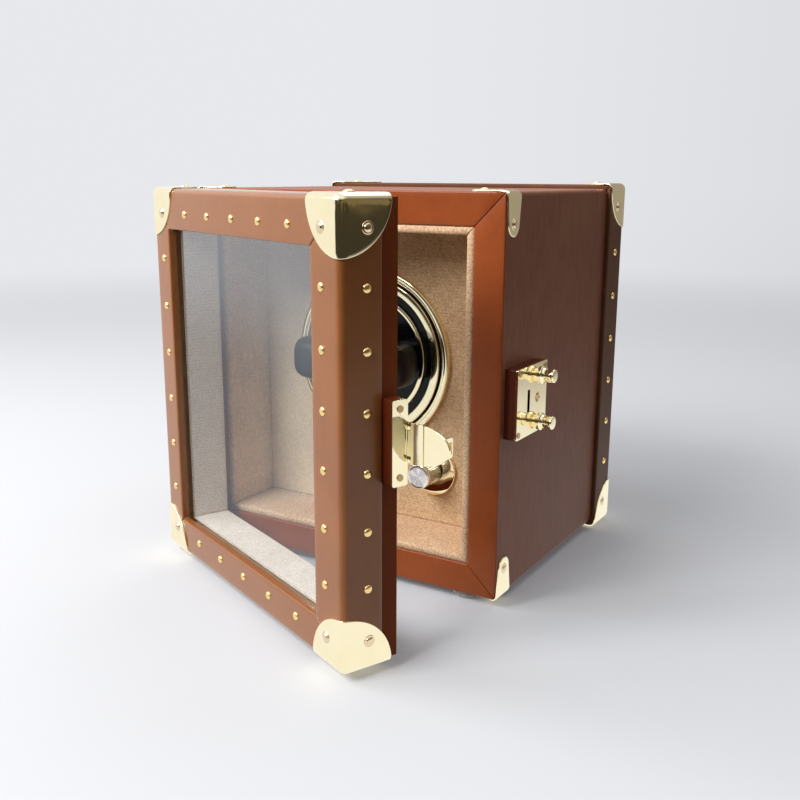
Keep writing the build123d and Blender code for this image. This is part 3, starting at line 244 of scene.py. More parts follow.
def rounded_box(points: Points, low: Sequence[float], high: Sequence[float], radius: float) -> Points:
    """Points outside a rounded box pulled onto it.

    A point's nearest place in the box shrunk by the radius is q. Where the point is more than the radius
    away from q, it becomes q + radius * (point - q) / |point - q|.

    Args:
        points: array whose last axis is x, y, z.
        low: low corner of the box.
        high: high corner of the box.
        radius: rounding of its edges.
    Returns:
        The points, with those past the rounding pulled in.
    """
    core = np.clip(points, np.asarray(low, float) + radius, np.asarray(high, float) - radius)
    away = points - core
    distance = np.linalg.norm(away, axis=-1, keepdims=True)
    return np.where(distance > radius, core + away * radius / np.maximum(distance, 1e-9), points)


def case_box(grow: float, y0: float, y1: float, radius: float) -> Box:
    """Box as wide and high as the case, grown by a margin, from y0 to y1, with the rounding of its edges."""
    half = CASE.half_width + grow
    return (-half, y0, -grow), (half, y1, CASE.height + grow), radius


def basis(axis: Sequence[float]) -> tuple[Points, Points, Points]:
    """Two unit vectors across a direction, and the unit direction itself.

    Args:
        axis: direction of any length.
    Returns:
        Side, up and along, at right angles to one another.
    """
    along = np.asarray(axis, float) / np.linalg.norm(axis)
    helper = np.array([0.0, 0.0, 1.0]) if abs(along[2]) < 0.9 else np.array([0.0, 1.0, 0.0])
    side = np.cross(helper, along)
    side /= np.linalg.norm(side)
    return side, np.cross(along, side), along


def turned(profile: Points, centre: Sequence[float], axis: Sequence[float], steps: int = 72) -> Points:
    """Surface of revolution.

    Point(a, k) = centre + height_k * axis + radius_k * (cos a * side + sin a * up), a going once round.

    Args:
        profile: array of (n, 2) with radius and height.
        centre: point that the heights start from.
        axis: direction of the heights.
        steps: number of angles.
    Returns:
        Grid of (steps, n, 3), to be wrapped round its first axis.
    """
    side, up, along = basis(axis)
    angle = np.linspace(0, 2 * np.pi, steps, endpoint=False)[:, None, None]
    ring = np.cos(angle) * side + np.sin(angle) * up
    return np.asarray(centre, float) + profile[None, :, 1:2] * along + profile[None, :, 0:1] * ring


def stamped(template: Points, places: Points, directions: Points) -> Points:
    """Copies of a small grid, each stood on a place and facing a direction.

    Copy k of point p is place_k + p_x * side_k + p_y * up_k + p_z * direction_k, for all k at once.

    Args:
        template: grid of (nu, nv, 3) drawn round +Z.
        places: array of (k, 3).
        directions: array of (k, 3).
    Returns:
        Array of (k, nu, nv, 3).
    """
    frames = np.array([basis(direction) for direction in directions])
    return places[:, None, None, :] + np.einsum("uvc,kcd->kuvd", template, frames)


def mitred(outline: Rectangle, widths: dict[Side, float], section: Callable[[float], Points], depth: float,
           crease: float, box: Box | None = None, spacing: float = 9.0) -> list[Points]:
    """Four strips carried round a rectangle, each with its section and mitred ends that roll into the seam.

    A section point is (w inwards from the outline, y). At a distance e from the mitre, measured along the
    strip, the point is base + (surface - base) * sqrt(1 - (1 - e / crease)^2) for e below the crease and
    the surface beyond it, where base is the section moved in by the depth. The mitre runs from the
    outline's corner to the corner of the inner rectangle that the widths give.

    Args:
        outline: x0, x1, z0, z1 of the outer rectangle.
        widths: width of each side.
        section: gives the section of a side from its width, as (n, 2).
        depth: thickness of the strip, with the sign that inset() needs.
        crease: length over which each end rolls into the seam.
        box: low corner, high corner and rounding of the box that the outer points are pulled onto.
        spacing: length of the cells along the strips.
    Returns:
        One closed grid of (nu, nv, 3) for each side, to be wrapped round its second axis.
    """
    x0, x1, z0, z1 = outline
    ease = crease * (1 - np.cos(np.linspace(0, np.pi / 2, ROLL_STEPS)))[:, None]
    rise = np.sqrt(np.maximum(0, 1 - (1 - ease / crease) ** 2))
    n = ROLL_STEPS
    grids = []
    for side in Side:
        level = side in (Side.TOP, Side.BOTTOM)
        low, high = (x0, x1) if level else (z0, z1)
        before, after = (Side.LEFT, Side.RIGHT) if level else (Side.BOTTOM, Side.TOP)
        surface = section(widths[side])
        base = inset(surface, depth)
        middle = np.linspace(0, 1, max(2, int((high - low) / spacing)))[1:-1, None]
        height = np.concatenate([rise, np.ones_like(middle), rise[::-1]])[:, None]
        outer = base[None] + (surface - base)[None] * height
        rings = []
        for ring in (outer, np.broadcast_to(base[None], outer.shape)):
            w, y = ring[..., 0], ring[..., 1]
            start = low + w / widths[side] * widths[before]
            end = high - w / widths[side] * widths[after]
            reach = (end - start - 2 * crease)[n:-n]
            between = start[n:-n] + crease + middle * reach
            along = np.concatenate([start[:n] + ease, between, end[-n:] - ease[::-1]])
            places = {Side.TOP: (along, y, z1 - w), Side.BOTTOM: (along, y, z0 + w),
                      Side.LEFT: (x0 + w, y, along), Side.RIGHT: (x1 - w, y, along)}
            rings.append(np.stack(places[side], -1))
        shown, hidden = rings
        if box is not None:
            shown = rounded_box(shown, *box)
        grids.append(np.concatenate([shown, hidden[:, ::-1]], axis=1))
    return grids


class Skin:
    """Grids of points gathered into one mesh."""

    def __init__(self) -> None:
        """Starts with no points."""
        self.points: list[Points] = []
        self.quads: list[Points] = []
        self.slots: list[Points] = []
        self.count = 0

    def grid(self, surface: Points, wrap_u: bool = False, wrap_v: bool = False, slot: int = 0) -> "Skin":
        """Adds one grid, or several of the same size, joining neighbours into four sided faces.

        Args:
            surface: array of (nu, nv, 3) or (k, nu, nv, 3), in millimetres.
            wrap_u: whether the last row joins the first.
            wrap_v: whether the last column joins the first.
            slot: material slot of its faces.
        Returns:
            This skin.
        """
        surface = surface if surface.ndim == 4 else surface[None]
        k, nu, nv = surface.shape[:3]
        index = np.arange(k * nu * nv).reshape(k, nu, nv) + self.count
        if wrap_u:
            index = np.concatenate([index, index[:, :1]], axis=1)
        if wrap_v:
            index = np.concatenate([index, index[:, :, :1]], axis=2)
        quads = np.stack([index[:, :-1, :-1], index[:, 1:, :-1], index[:, 1:, 1:], index[:, :-1, 1:]], -1)
        self.points.append(surface.reshape(-1, 3))
        self.quads.append(quads.reshape(-1, 4))
        self.slots.append(np.full(len(self.quads[-1]), slot))
        self.count += k * nu * nv
        return self

    def grids(self, surfaces: Iterable[Points]) -> "Skin":
        """Adds closed strips of different sizes, each wrapped round its second axis.

        Args:
            surfaces: grids as grid() takes them.
        Returns:
            This skin.
        """
        for surface in surfaces:
            self.grid(surface, wrap_v=True)
        return self

    def mesh(self, name: str, sharp: float = 38.0) -> bpy.types.Object:
        """Makes the object, with doubles merged, faces turned outwards and creases kept sharp.

        Args:
            name: name of the object and its mesh.
            sharp: angle in degrees above which an edge stays sharp.
        Returns:
            The new object, at the origin.
        """
        points = np.concatenate(self.points) * MM
        quads = np.concatenate(self.quads)
        mesh = bpy.data.meshes.new(name)
        mesh.vertices.add(len(points))
        mesh.vertices.foreach_set("co", points.astype(np.float32).ravel())
        mesh.loops.add(quads.size)
        mesh.loops.foreach_set("vertex_index", quads.astype(np.int32).ravel())
        mesh.polygons.add(len(quads))
        mesh.polygons.foreach_set("loop_start", np.arange(0, quads.size, 4, dtype=np.int32))
        mesh.polygons.foreach_set("material_index", np.concatenate(self.slots).astype(np.int32))
        mesh.update(calc_edges=True)
        work = bmesh.new()
        work.from_mesh(mesh)
        bmesh.ops.remove_doubles(work, verts=work.verts, dist=MERGED)
        bmesh.ops.dissolve_degenerate(work, edges=work.edges, dist=COLLAPSED)
        bmesh.ops.recalc_face_normals(work, faces=work.faces)
        work.to_mesh(mesh)
        work.free()
        mesh.shade_smooth()
        mesh.set_sharp_from_angle(angle=math.radians(sharp))
        made = bpy.data.objects.new(name, mesh)
        bpy.context.scene.collection.objects.link(made)
        return made


def coordinates(mesh: bpy.types.Mesh) -> Points:
    """Places of a mesh's vertices.

    Args:
        mesh: the mesh.
    Returns:
        Array of (n, 3), in metres.
    """
    flat = np.empty(len(mesh.vertices) * 3, np.float32)
    mesh.vertices.foreach_get("co", flat)
    return flat.reshape(-1, 3)


# Shader building

def maths(operation: str, swapped: bool = False) -> Callable[["Signal", "Signal | float"], "Signal"]:
    """Operator between a signal and a second value that adds the Math node of this name."""
    return lambda signal, other: signal.math(operation, other, swapped=swapped)
class Signal:
    """A shader socket that takes part in Python expressions by adding Math nodes."""

    def __init__(self, shader: "Shader", socket: bpy.types.NodeSocket) -> None:
        """Wraps an output socket of a node of the shader."""
        self.shader = shader
        self.socket = socket

    def math(self, operation: str, *others: "Signal | float", swapped: bool = False) -> "Signal":
        """Adds a Math node.

        Args:
            operation: Blender's name of the operation.
            others: further inputs.
            swapped: whether this signal comes after the first of the others.
        Returns:
            The node's value.
        """
        inputs = [self, *others]
        if swapped:
            inputs[0], inputs[1] = inputs[1], inputs[0]
        return self.shader.signal("ShaderNodeMath", {"operation": operation}, dict(enumerate(inputs)))

    __add__ = __radd__ = maths("ADD")
    __mul__ = __rmul__ = maths("MULTIPLY")
    __sub__ = maths("SUBTRACT")
    __rsub__ = maths("SUBTRACT", swapped=True)
    __truediv__ = maths("DIVIDE")
    __pow__ = maths("POWER")

    def between(self, low: float, high: float) -> "Signal":
        """Smooth step from 0 below low to 1 above high."""
        return self.shader.signal("ShaderNodeMapRange", {"interpolation_type": "SMOOTHSTEP"},
                                  {0: self, 1: low, 2: high, 3: 0.0, 4: 1.0})


class Shader:
    """Builds one material's node tree."""

    def __init__(self, name: str) -> None:
        """Makes the material with an empty tree.

        Args:
            name: name of the material.
        """
        self.material = bpy.data.materials.new(name)
        self.material.use_nodes = True
        self.tree = self.material.node_tree
        self.tree.nodes.clear()

    def node(self, kind: str, settings: dict | None = None, inputs: dict | None = None) -> bpy.types.Node:
        """Adds a node.

        Args:
            kind: Blender's type name of the node.
            settings: attributes set first.
            inputs: values or signals by socket name or number.
        Returns:
            The node.
        """
        made = self.tree.nodes.new(kind)
        for key, value in (settings or {}).items():
            setattr(made, key, value)
        for key, value in (inputs or {}).items():
            if isinstance(value, Signal):
                self.tree.links.new(value.socket, made.inputs[key])
            elif value is not None:
                made.inputs[key].default_value = value
        return made

    def signal(self, kind: str, settings: dict | None = None, inputs: dict | None = None,
               output: int | str = 0) -> Signal:
        """Adds a node as node() does and returns one of its outputs."""
        return Signal(self, self.node(kind, settings, inputs).outputs[output])

    def place(self, scale: Sequence[float] = (1, 1, 1), centre: Sequence[float] = (0, 0, 0)) -> Signal:
        """Object coordinates in metres, stretched by a scale about a centre.

        Args:
            scale: factor on each axis.
            centre: point that becomes the origin, in metres.
        Returns:
            The coordinates as a vector.
        """
        start = self.signal("ShaderNodeTexCoord", output="Object")
        shift = tuple(-c * s for c, s in zip(centre, scale))
        return self.signal("ShaderNodeMapping", None, {"Vector": start, "Location": shift, "Scale": tuple(scale)})

    def noise(self, size: float, detail: float = 3.0, roughness: float = 0.55, at: Signal | None = None,
              distortion: float = 0.0) -> Signal:
        """Soft noise whose features are about the given size in millimetres."""
        return self.signal("ShaderNodeTexNoise", {"noise_dimensions": "3D"},
                           {"Vector": at or self.place(), "Scale": 1.0 / (size * MM), "Detail": detail,
                            "Roughness": roughness, "Distortion": distortion})

    def cells(self, size: float) -> Signal:
        """Distance to the nearest of scattered points that are about the given size apart."""
        return self.signal("ShaderNodeTexVoronoi", {"feature": "SMOOTH_F1"},
                           {"Vector": self.place(), "Scale": 1.0 / (size * MM), "Smoothness": 0.35})

    def mixed(self, share: Signal | float, first: Signal | Colour, second: Signal | Colour) -> Signal:
        """Colour between two colours."""
        pair = [colour if isinstance(colour, Signal) else (*colour, 1.0) for colour in (first, second)]
        return self.signal("ShaderNodeMix", {"data_type": "RGBA"}, {0: share, 6: pair[0], 7: pair[1]}, output=2)

    def axes(self, at: Signal) -> tuple[Signal, Signal, Signal]:
        """The three numbers of a vector."""
        split = self.node("ShaderNodeSeparateXYZ", None, {0: at})
        return tuple(Signal(self, split.outputs[k]) for k in range(3))

    def bump(self, height: Signal, depth: float) -> Signal:
        """Normal bent by a height of 0 to 1 that stands for the given depth in millimetres."""
        return self.signal("ShaderNodeBump", None, {"Height": height, "Distance": depth * MM, "Strength": 1.0})

    def finish(self, inputs: dict) -> bpy.types.Material:
        """Ends the tree in a Principled shader with these inputs, and returns the material."""
        surface = self.signal("ShaderNodeBsdfPrincipled", {"distribution": "MULTI_GGX"}, inputs)
        self.node("ShaderNodeOutputMaterial", None, {"Surface": surface})
        return self.material


class Finish:
    """A finish that is made once and then shared."""

    made: dict[str, bpy.types.Material] = {}
    name: str

    def build(self) -> bpy.types.Material:
        """Builds the material."""
        raise NotImplementedError

    @property
    def material(self) -> bpy.types.Material:
        """The material, built when it is first asked for."""
        if self.name not in Finish.made:
            Finish.made[self.name] = self.build()
        return Finish.made[self.name]


@dataclass(frozen=True)
class Leather(Finish):
    """Smooth finished leather: pebbled grain, soft mottling, and fine streaks along one axis."""

    name: str
    colour: Colour
    shade: Colour
    roughness: float = 0.42
    coat: float = 0.12
    grain: float = 0.9
    grain_depth: float = 0.035
    streak: tuple[float, float, float] = (1.0, 1.0, 0.5)
    streak_share: float = 0.2
    specular: float = 0.5

    def build(self) -> bpy.types.Material:
        """Colour runs between shade and colour by mottling and streaks, and the grain lifts the surface.

        Returns:
            The material.
        """
        s = Shader(self.name)
        mottle = s.noise(38.0, 4.0, 0.6)
        streaks = s.noise(3.2, 4.0, 0.6, s.place(self.streak))
        pores = s.noise(0.7, 2.0, 0.6)
        grain = s.cells(self.grain)
        tone = mottle.between(0.3, 0.7) * (1 - self.streak_share)
        tone = tone + streaks.between(0.32, 0.68) * self.streak_share
        tone = tone * 0.8 + pores.between(0.35, 0.6) * 0.2
        colour = s.mixed(tone, self.shade, self.colour)
        height = grain.between(0.0, 0.75) * 0.55 + streaks * 0.3 + pores * 0.15
        rough = self.roughness + 0.10 * (mottle - 0.5) + 0.08 * (1 - grain.between(0.1, 0.6))
        return s.finish({"Base Color": colour, "Roughness": rough, "Normal": s.bump(height, self.grain_depth),
                         "Coat Weight": self.coat, "Coat Roughness": 0.18, "Coat IOR": 1.3,
                         "Specular IOR Level": self.specular})


@dataclass(frozen=True)
class Suede(Finish):
    """Brushed suede: speckled nap over faint level ribs, and painted light: a paler tone that grows along one way.

    The way is a share of each axis, and the span gives where along it, in mm, the painted light starts and ends.
    """

    name: str
    light: Colour
    dark: Colour
    nap: float = 0.62
    rib: float = 1.8
    rib_share: float = 0.2
    painted_light_colour: Colour = (0.95, 0.84, 0.70)
    painted_light_way: tuple[float, float, float] = (0.0, 0.0, 0.0)
    painted_light_span: tuple[float, float] = (0.0, 1.0)

    def build(self) -> bpy.types.Material:
        """Speckle, tufts and wide brushed patches, and ribs from a sine of height bent by the tufts.

        Returns:
            The material.
        """
        s = Shader(self.name)
        speckle = s.noise(self.nap, 2.0, 0.7)
        tufts = s.noise(1.5, 3.0, 0.65)
        patches = s.noise(24.0, 3.0, 0.55, distortion=0.6)
        _, _, z = s.axes(s.place())
        ribs = (z * (2 * math.pi / (self.rib * MM)) + tufts * 3.0).math("SINE") * 0.5 + 0.5
        tone = speckle.between(0.38, 0.62) * 0.6 + tufts.between(0.36, 0.64) * 0.25
        tone = tone + patches.between(0.3, 0.7) * 0.15
        tone = tone * (1 - self.rib_share) + ribs * self.rib_share
        height = speckle * 0.6 + tufts * 0.25 + ribs * 0.15
        colour = s.mixed(tone, self.dark, self.light)
        # Painted light: along the way the suede turns to a paler tone, as if more brightly lit there
        if any(self.painted_light_way):
            along = sum(part * share for part, share in zip(s.axes(s.place()), self.painted_light_way))
            start, end = (value * MM for value in self.painted_light_span)
            faint = tuple(0.56 * value for value in self.painted_light_colour)
            colour = s.mixed(along.between(start, end), colour, s.mixed(tone, faint, self.painted_light_colour))
        return s.finish({"Base Color": colour, "Roughness": 0.95,
                         "Normal": s.bump(height, 0.22), "Sheen Weight": 0.3, "Sheen Roughness": 0.45,
                         "Sheen Tint": (*self.light, 1.0), "Specular IOR Level": 0.12})


@dataclass(frozen=True)
class Polished(Finish):
    """Polished metal with faint smears, and very fine lines from the polishing wheel."""

    name: str
    colour: Colour
    tarnish: Colour
    roughness: float = 0.07
    waviness: float = 0.02

    def build(self) -> bpy.types.Material:
        """Smears change the colour a little and the roughness more, and a slow wave bends reflections.

        Returns:
            The material.
        """
        s = Shader(self.name)
        smear = s.noise(14.0, 3.0, 0.5)
        lines = s.noise(0.5, 2.0, 0.5, s.place((1.0, 1.0, 0.06)))
        wave = s.noise(16.0, 1.0, 0.4)
        colour = s.mixed(smear.between(0.3, 0.8) * 0.3, self.colour, self.tarnish)
        rough = self.roughness + 0.02 * smear.between(0.4, 0.8) + 0.02 * lines
        height = wave * 0.9 + lines * 0.02
        return s.finish({"Base Color": colour, "Metallic": 1.0, "Roughness": rough,
                         "Normal": s.bump(height, self.waviness * 10)})


@dataclass(frozen=True)
class Brushed(Finish):
    """Machined metal, with marks that run along one axis or round a turned axis."""

    name: str
    colour: Colour
    shade: Colour
    roughness: float = 0.3
    marks: tuple[float, float, float] = (1.0, 0.05, 1.0)

    def build(self) -> bpy.types.Material:
        """Long fine marks change colour, roughness and height together.

        Returns:
            The material.
        """
        s = Shader(self.name)
        marks = s.noise(0.28, 3.0, 0.65, s.place(self.marks))
        cloud = s.noise(14.0, 3.0, 0.5)
        colour = s.mixed(marks * 0.6 + cloud * 0.4, self.shade, self.colour)
        rough = self.roughness + 0.16 * (marks - 0.5) + 0.06 * cloud
        return s.finish({"Base Color": colour, "Metallic": 1.0, "Roughness": rough,
                         "Normal": s.bump(marks, 0.006)})


@dataclass(frozen=True)
class KnobFace(Finish):
    """Knob's end face, spun against a fine wheel so that its marks run out from the centre, under painted fan-shaped
    highlights.
    """

    name: str
    centre: tuple[float, float]
    # Light and dark ends of the face, between which the painted fan highlights and the marks run
    colour: Colour = (0.97, 0.97, 0.97)
    shade: Colour = (0.66, 0.66, 0.67)

    def build(self) -> bpy.types.Material:
        """Marks and the painted fan highlights depend on the angle a round the centre alone, as noise of (cos a, sin
        a), so they join well.

        Returns:
            The material.
        """
        s = Shader(self.name)
        x, _, z = s.axes(s.place(centre=(self.centre[0] * MM, 0, self.centre[1] * MM)))
        radius = (x * x + z * z) ** 0.5 + 1e-6
        ring = s.signal("ShaderNodeCombineXYZ", None, {0: x / radius, 1: z / radius, 2: 0.0})
        painted_fan_highlight, marks = (s.signal("ShaderNodeTexNoise", None,
                               {"Vector": ring, "Scale": scale, "Detail": detail, "Roughness": roughness})
                      for scale, detail, roughness in ((1.6, 1.0, 0.4), (46.0, 3.0, 0.6)))
        # Painted highlight: slow noise round the centre gives light and dark fan-shaped sectors, which set most of
        # the face's colour and some of its roughness
        tone = painted_fan_highlight.between(0.38, 0.6) * 0.65 + marks * 0.35
        return s.finish({"Base Color": s.mixed(tone, self.shade, self.colour), "Metallic": 1.0,
                         "Roughness": 0.3 - 0.12 * tone, "Normal": s.bump(marks, 0.012)})


@dataclass(frozen=True)
class Gloss(Finish):
    """Hard glossy or satin plastic with a trace of dust and moulding ripple."""

    name: str
    colour: Colour
    dust: Colour
    roughness: float = 0.12
    ripple: float = 0.004
    grain: float = 0.6
    specular: float = 0.5

    def build(self) -> bpy.types.Material:
        """Dust lightens it in specks, and fine noise lifts the surface.

        Returns:
            The material.
        """
        s = Shader(self.name)
        specks = s.noise(0.35, 2.0, 0.7)
        cloud = s.noise(12.0, 3.0, 0.5)
        fine = s.noise(self.grain, 3.0, 0.6)
        colour = s.mixed(specks.between(0.66, 0.78) * 0.35 + cloud * 0.12, self.colour, self.dust)
        rough = self.roughness + 0.08 * cloud.between(0.3, 0.7)
        return s.finish({"Base Color": colour, "Roughness": rough, "Normal": s.bump(fine, self.ripple * 10),
                         "Specular IOR Level": self.specular})


@dataclass(frozen=True)
class Glass(Finish):
    """Clear pane: what lies behind it, under a cool mirror skin that grows at glancing angles and, as a painted
    reflection, higher up; the skin's cool colour is a painted tint of the reflection.
    """

    name: str
    tint: Colour = (0.97, 0.985, 1.0)
    # Cool colour of the mirror skin: a painted tint of the reflection
    skin: Colour = (0.84, 0.91, 1.0)
    at_normal: float = 0.055
    at_grazing: float = 0.40
    painted_upper_reflection: float = 0.15

    def build(self) -> bpy.types.Material:
        """A clear and a mirror shader mixed by facing angle to the fourth power, on faces seen from outside.

        Returns:
            The material.
        """
        s = Shader(self.name)
        haze = s.noise(38.0, 3.0, 0.5)
        clear = s.signal("ShaderNodeBsdfTransparent", None, {"Color": (*self.tint, 1.0)})
        gloss = s.signal("ShaderNodeBsdfPrincipled", None,
                         {"Base Color": (*self.skin, 1.0), "Roughness": 0.04, "Metallic": 1.0})
        facing = s.signal("ShaderNodeLayerWeight", None, {"Blend": 0.5}, output="Facing")
        inside = s.signal("ShaderNodeNewGeometry", output="Backfacing")
        _, _, z = s.axes(s.place())
        # Painted reflection: the mirror's share grows from 118 to 180 mm high, towards the top of the pane
        painted_upper_reflection = self.painted_upper_reflection * z.between(118 * MM, 180 * MM)
        share = (self.at_normal + painted_upper_reflection + self.at_grazing * facing ** 4 + 0.04 * haze) * (1 - inside)
        mixed = s.signal("ShaderNodeMixShader", None, {0: share, 1: clear, 2: gloss})
        s.node("ShaderNodeOutputMaterial", None, {"Surface": mixed})
        return s.material


@dataclass(frozen=True)
class Rubber(Finish):
    """Clear soft rubber of the feet, cloudy inside."""

    name: str

    def build(self) -> bpy.types.Material:
        """Milky body colour with light let through.

        Returns:
            The material.
        """
        s = Shader(self.name)
        cloud = s.noise(2.5, 3.0, 0.6)
        colour = s.mixed(cloud, (0.62, 0.56, 0.44), (0.80, 0.76, 0.66))
        return s.finish({"Base Color": colour, "Roughness": 0.22 + 0.1 * cloud, "Transmission Weight": 0.5,
                         "IOR": 1.45, "Normal": s.bump(cloud, 0.005)})


@dataclass(frozen=True)
class Timber(Finish):
    """Pale board under the leather: long grain with darker lines."""

    name: str
    light: Colour = (0.58, 0.40, 0.23)
    dark: Colour = (0.38, 0.24, 0.12)

    def build(self) -> bpy.types.Material:
        """Noise stretched along X gives the fibres, and a wider noise the growth lines.

        Returns:
            The material.
        """
        s = Shader(self.name)
        fibres = s.noise(1.2, 4.0, 0.6, s.place((0.05, 1.0, 1.0)))
        lines = s.noise(9.0, 3.0, 0.5, s.place((0.08, 1.0, 1.0)), distortion=1.0)
        tone = fibres * 0.5 + lines.between(0.3, 0.7) * 0.5
        return s.finish({"Base Color": s.mixed(tone, self.dark, self.light), "Roughness": 0.62 + 0.15 * fibres,
                         "Normal": s.bump(fibres, 0.08)})


@dataclass(frozen=True)
class Circuit(Finish):
    """Green lacquered circuit board with faint copper lines under the lacquer."""

    name: str

    def build(self) -> bpy.types.Material:
        """Square cells of noise stand for the copper areas.

        Returns:
            The material.
        """
        s = Shader(self.name)
        cells = s.signal("ShaderNodeTexVoronoi", {"distance": "CHEBYCHEV"},
                         {"Vector": s.place(), "Scale": 220.0, "Randomness": 0.8})
        cloud = s.noise(4.0, 3.0, 0.5)
        copper = cells.between(0.42, 0.5)
        colour = s.mixed(copper * 0.7, (0.012, 0.11, 0.045), (0.03, 0.22, 0.08))
        return s.finish({"Base Color": colour, "Roughness": 0.25 + 0.15 * cloud, "Normal": s.bump(copper, 0.03)})


KNOB_AT = (41.0, 53.4)

DOOR_LEATHER = Leather("door_leather", (0.285, 0.094, 0.018), (0.225, 0.070, 0.012), 0.42, 1.0, 0.7, 0.022,
                       specular=0.30)
RAIL_LEATHER = Leather("rail_leather", (0.330, 0.072, 0.013), (0.235, 0.046, 0.008), 0.36, 0.16, 0.7, 0.022,
                       specular=0.25)
SIDE_LEATHER = Leather("side_leather", (0.310, 0.116, 0.060), (0.195, 0.064, 0.032), 0.45, 0.0, 0.7, 0.040,
                       (1.0, 1.0, 0.22), 0.45, specular=0.15)
STRIP_LEATHER = Leather("strip_leather", (0.220, 0.046, 0.008), (0.150, 0.028, 0.005), 0.50, 0.0, 0.7, 0.045,
                        specular=0.12)
BAND_LEATHER = Leather("band_leather", (0.150, 0.056, 0.022), (0.100, 0.036, 0.014), 0.50, 0.0, 0.7, 0.030,
                       specular=0.18)
BLOCK_LEATHER = Leather("block_leather", (0.120, 0.020, 0.005), (0.070, 0.011, 0.003), 0.34, 0.15, 0.7, 0.020,
                        specular=0.2)
CUSHION_LEATHER = Leather("cushion_leather", (0.0050, 0.0052, 0.0060), (0.0025, 0.0025, 0.003), 0.30, 0.0, 0.9,
                          0.05, specular=0.22)
# Painted light on both suedes: the panel's turns paler towards the left, the bead's towards the left and the back
SUEDE = Suede("tan_suede", (0.92, 0.68, 0.42), (0.29, 0.14, 0.055), 0.5, rib_share=0.07,
              painted_light_colour=(0.95, 0.79, 0.58), painted_light_way=(-1.0, 0.0, 0.0), painted_light_span=(-10.0, 75.0))
BEAD_SUEDE = Suede("bead_suede", (0.90, 0.66, 0.43), (0.42, 0.21, 0.10), rib_share=0.05,
                   painted_light_way=(-0.7, 1.0, 0.0), painted_light_span=(-50.0, 40.0))
SAND_SUEDE = Suede("sand_suede", (0.92, 0.83, 0.72), (0.50, 0.39, 0.28), 0.7, 1.8, 0.18)
BRASS = Polished("polished_brass", (0.97, 0.88, 0.61), (0.88, 0.74, 0.42))
RIVET_BRASS = Polished("rivet_brass", (0.80, 0.66, 0.45), (0.62, 0.48, 0.28), 0.12)
SCREW_BRASS = Polished("screw_brass", (0.42, 0.31, 0.15), (0.24, 0.16, 0.07), 0.16)
NAIL_BRASS = Polished("nail_brass", (0.92, 0.68, 0.30), (0.70, 0.47, 0.17), 0.24)
MIRROR_GOLD = Polished("mirror_gold", (0.95, 0.82, 0.52), (0.86, 0.70, 0.40), 0.02, 0.003)
BLACK_GLOSS = Gloss("black_gloss", (0.003, 0.003, 0.0035), (0.03, 0.03, 0.034), 0.10, 0.0006, specular=0.22)
BLACK_PLASTIC = Gloss("black_plastic", (0.018, 0.018, 0.019), (0.06, 0.06, 0.06), 0.42, 0.004)
STEEL = Brushed("machined_steel", (0.62, 0.62, 0.63), (0.40, 0.40, 0.41))
RIBBED_METAL = Brushed("ribbed_metal", (0.70, 0.66, 0.61), (0.42, 0.38, 0.33), 0.22, (1.0, 0.04, 1.0))
CHROME = Polished("chrome_rim", (0.92, 0.92, 0.92), (0.78, 0.78, 0.78), 0.06)
KNOB_FACE = KnobFace("knob_face", KNOB_AT)
PANE = Glass("door_pane")
FOOT_RUBBER = Rubber("foot_rubber")
TIMBER = Timber("board_timber")
CIRCUIT = Circuit("circuit_board")


# Sub-assemblies

@dataclass
class SubAssembly:
    """Something built of pieces that are reported as they are made."""

    def add(self, skin: Skin, name: str, finishes: Sequence[Finish], body: Body, slot: Slot,
            nodes: Sequence[str] = (), sharp: float = 38.0) -> None:
        """Makes a piece from a skin, dresses it and sets it on its body.

        Args:
            skin: its surfaces.
            name: name of the piece.
            finishes: one finish for each material slot that the skin uses.
            body: body that it rides on.
            slot: not used; it is only passed on to settle().
            nodes: CAD nodes that it stands for.
            sharp: angle in degrees above which edges stay sharp.
        """
        piece = skin.mesh(name, sharp)
        for finish in finishes:
            piece.data.materials.append(finish.material)
        self.settle(piece, body, slot, nodes)

    def settle(self, piece: bpy.types.Object, body: Body, slot: Slot, nodes: Sequence[str] = ()) -> None:
        """Sets a finished piece on its body and hides the CAD nodes that it stands for.

        Args:
            piece: the piece.
            body: body that it rides on.
            slot: not used.
            nodes: CAD nodes that it stands for.
        """
        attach(piece, body.value)
        if nodes:
            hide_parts(*nodes)
        log.info("%s: %d faces on %s", piece.name, len(piece.data.polygons), body.value)

    def dress_node(self, name: str, finish: Finish, bevel: float = 0.0) -> None:
        """Gives a CAD node its finish, and softens its edges by a Weld and a Bevel.

        Args:
            name: the CAD node.
            finish: its finish.
            bevel: width of the bevel in millimetres, or 0 for none.
        """
        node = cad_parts[name]
        if not node.material_slots:
            node.data.materials.append(finish.material)
        for slot in node.material_slots:
            slot.material = finish.material
        if bevel > 0:
            node.modifiers.new("merge", "WELD").merge_threshold = WELDED
            edge = node.modifiers.new("soft_edges", "BEVEL")
            edge.width = bevel * MM
            edge.segments = BEVEL_STEPS
            edge.limit_method = "ANGLE"
            edge.angle_limit = math.radians(40)
            edge.harden_normals = True
        log.info("%s: CAD node dressed in %s", name, finish.name)

    def dress_nodes(self, names: Iterable[str], finish: Finish, bevel: float = 0.0) -> None:
        """Dresses several CAD nodes alike."""
        for name in names:
            self.dress_node(name, finish, bevel)
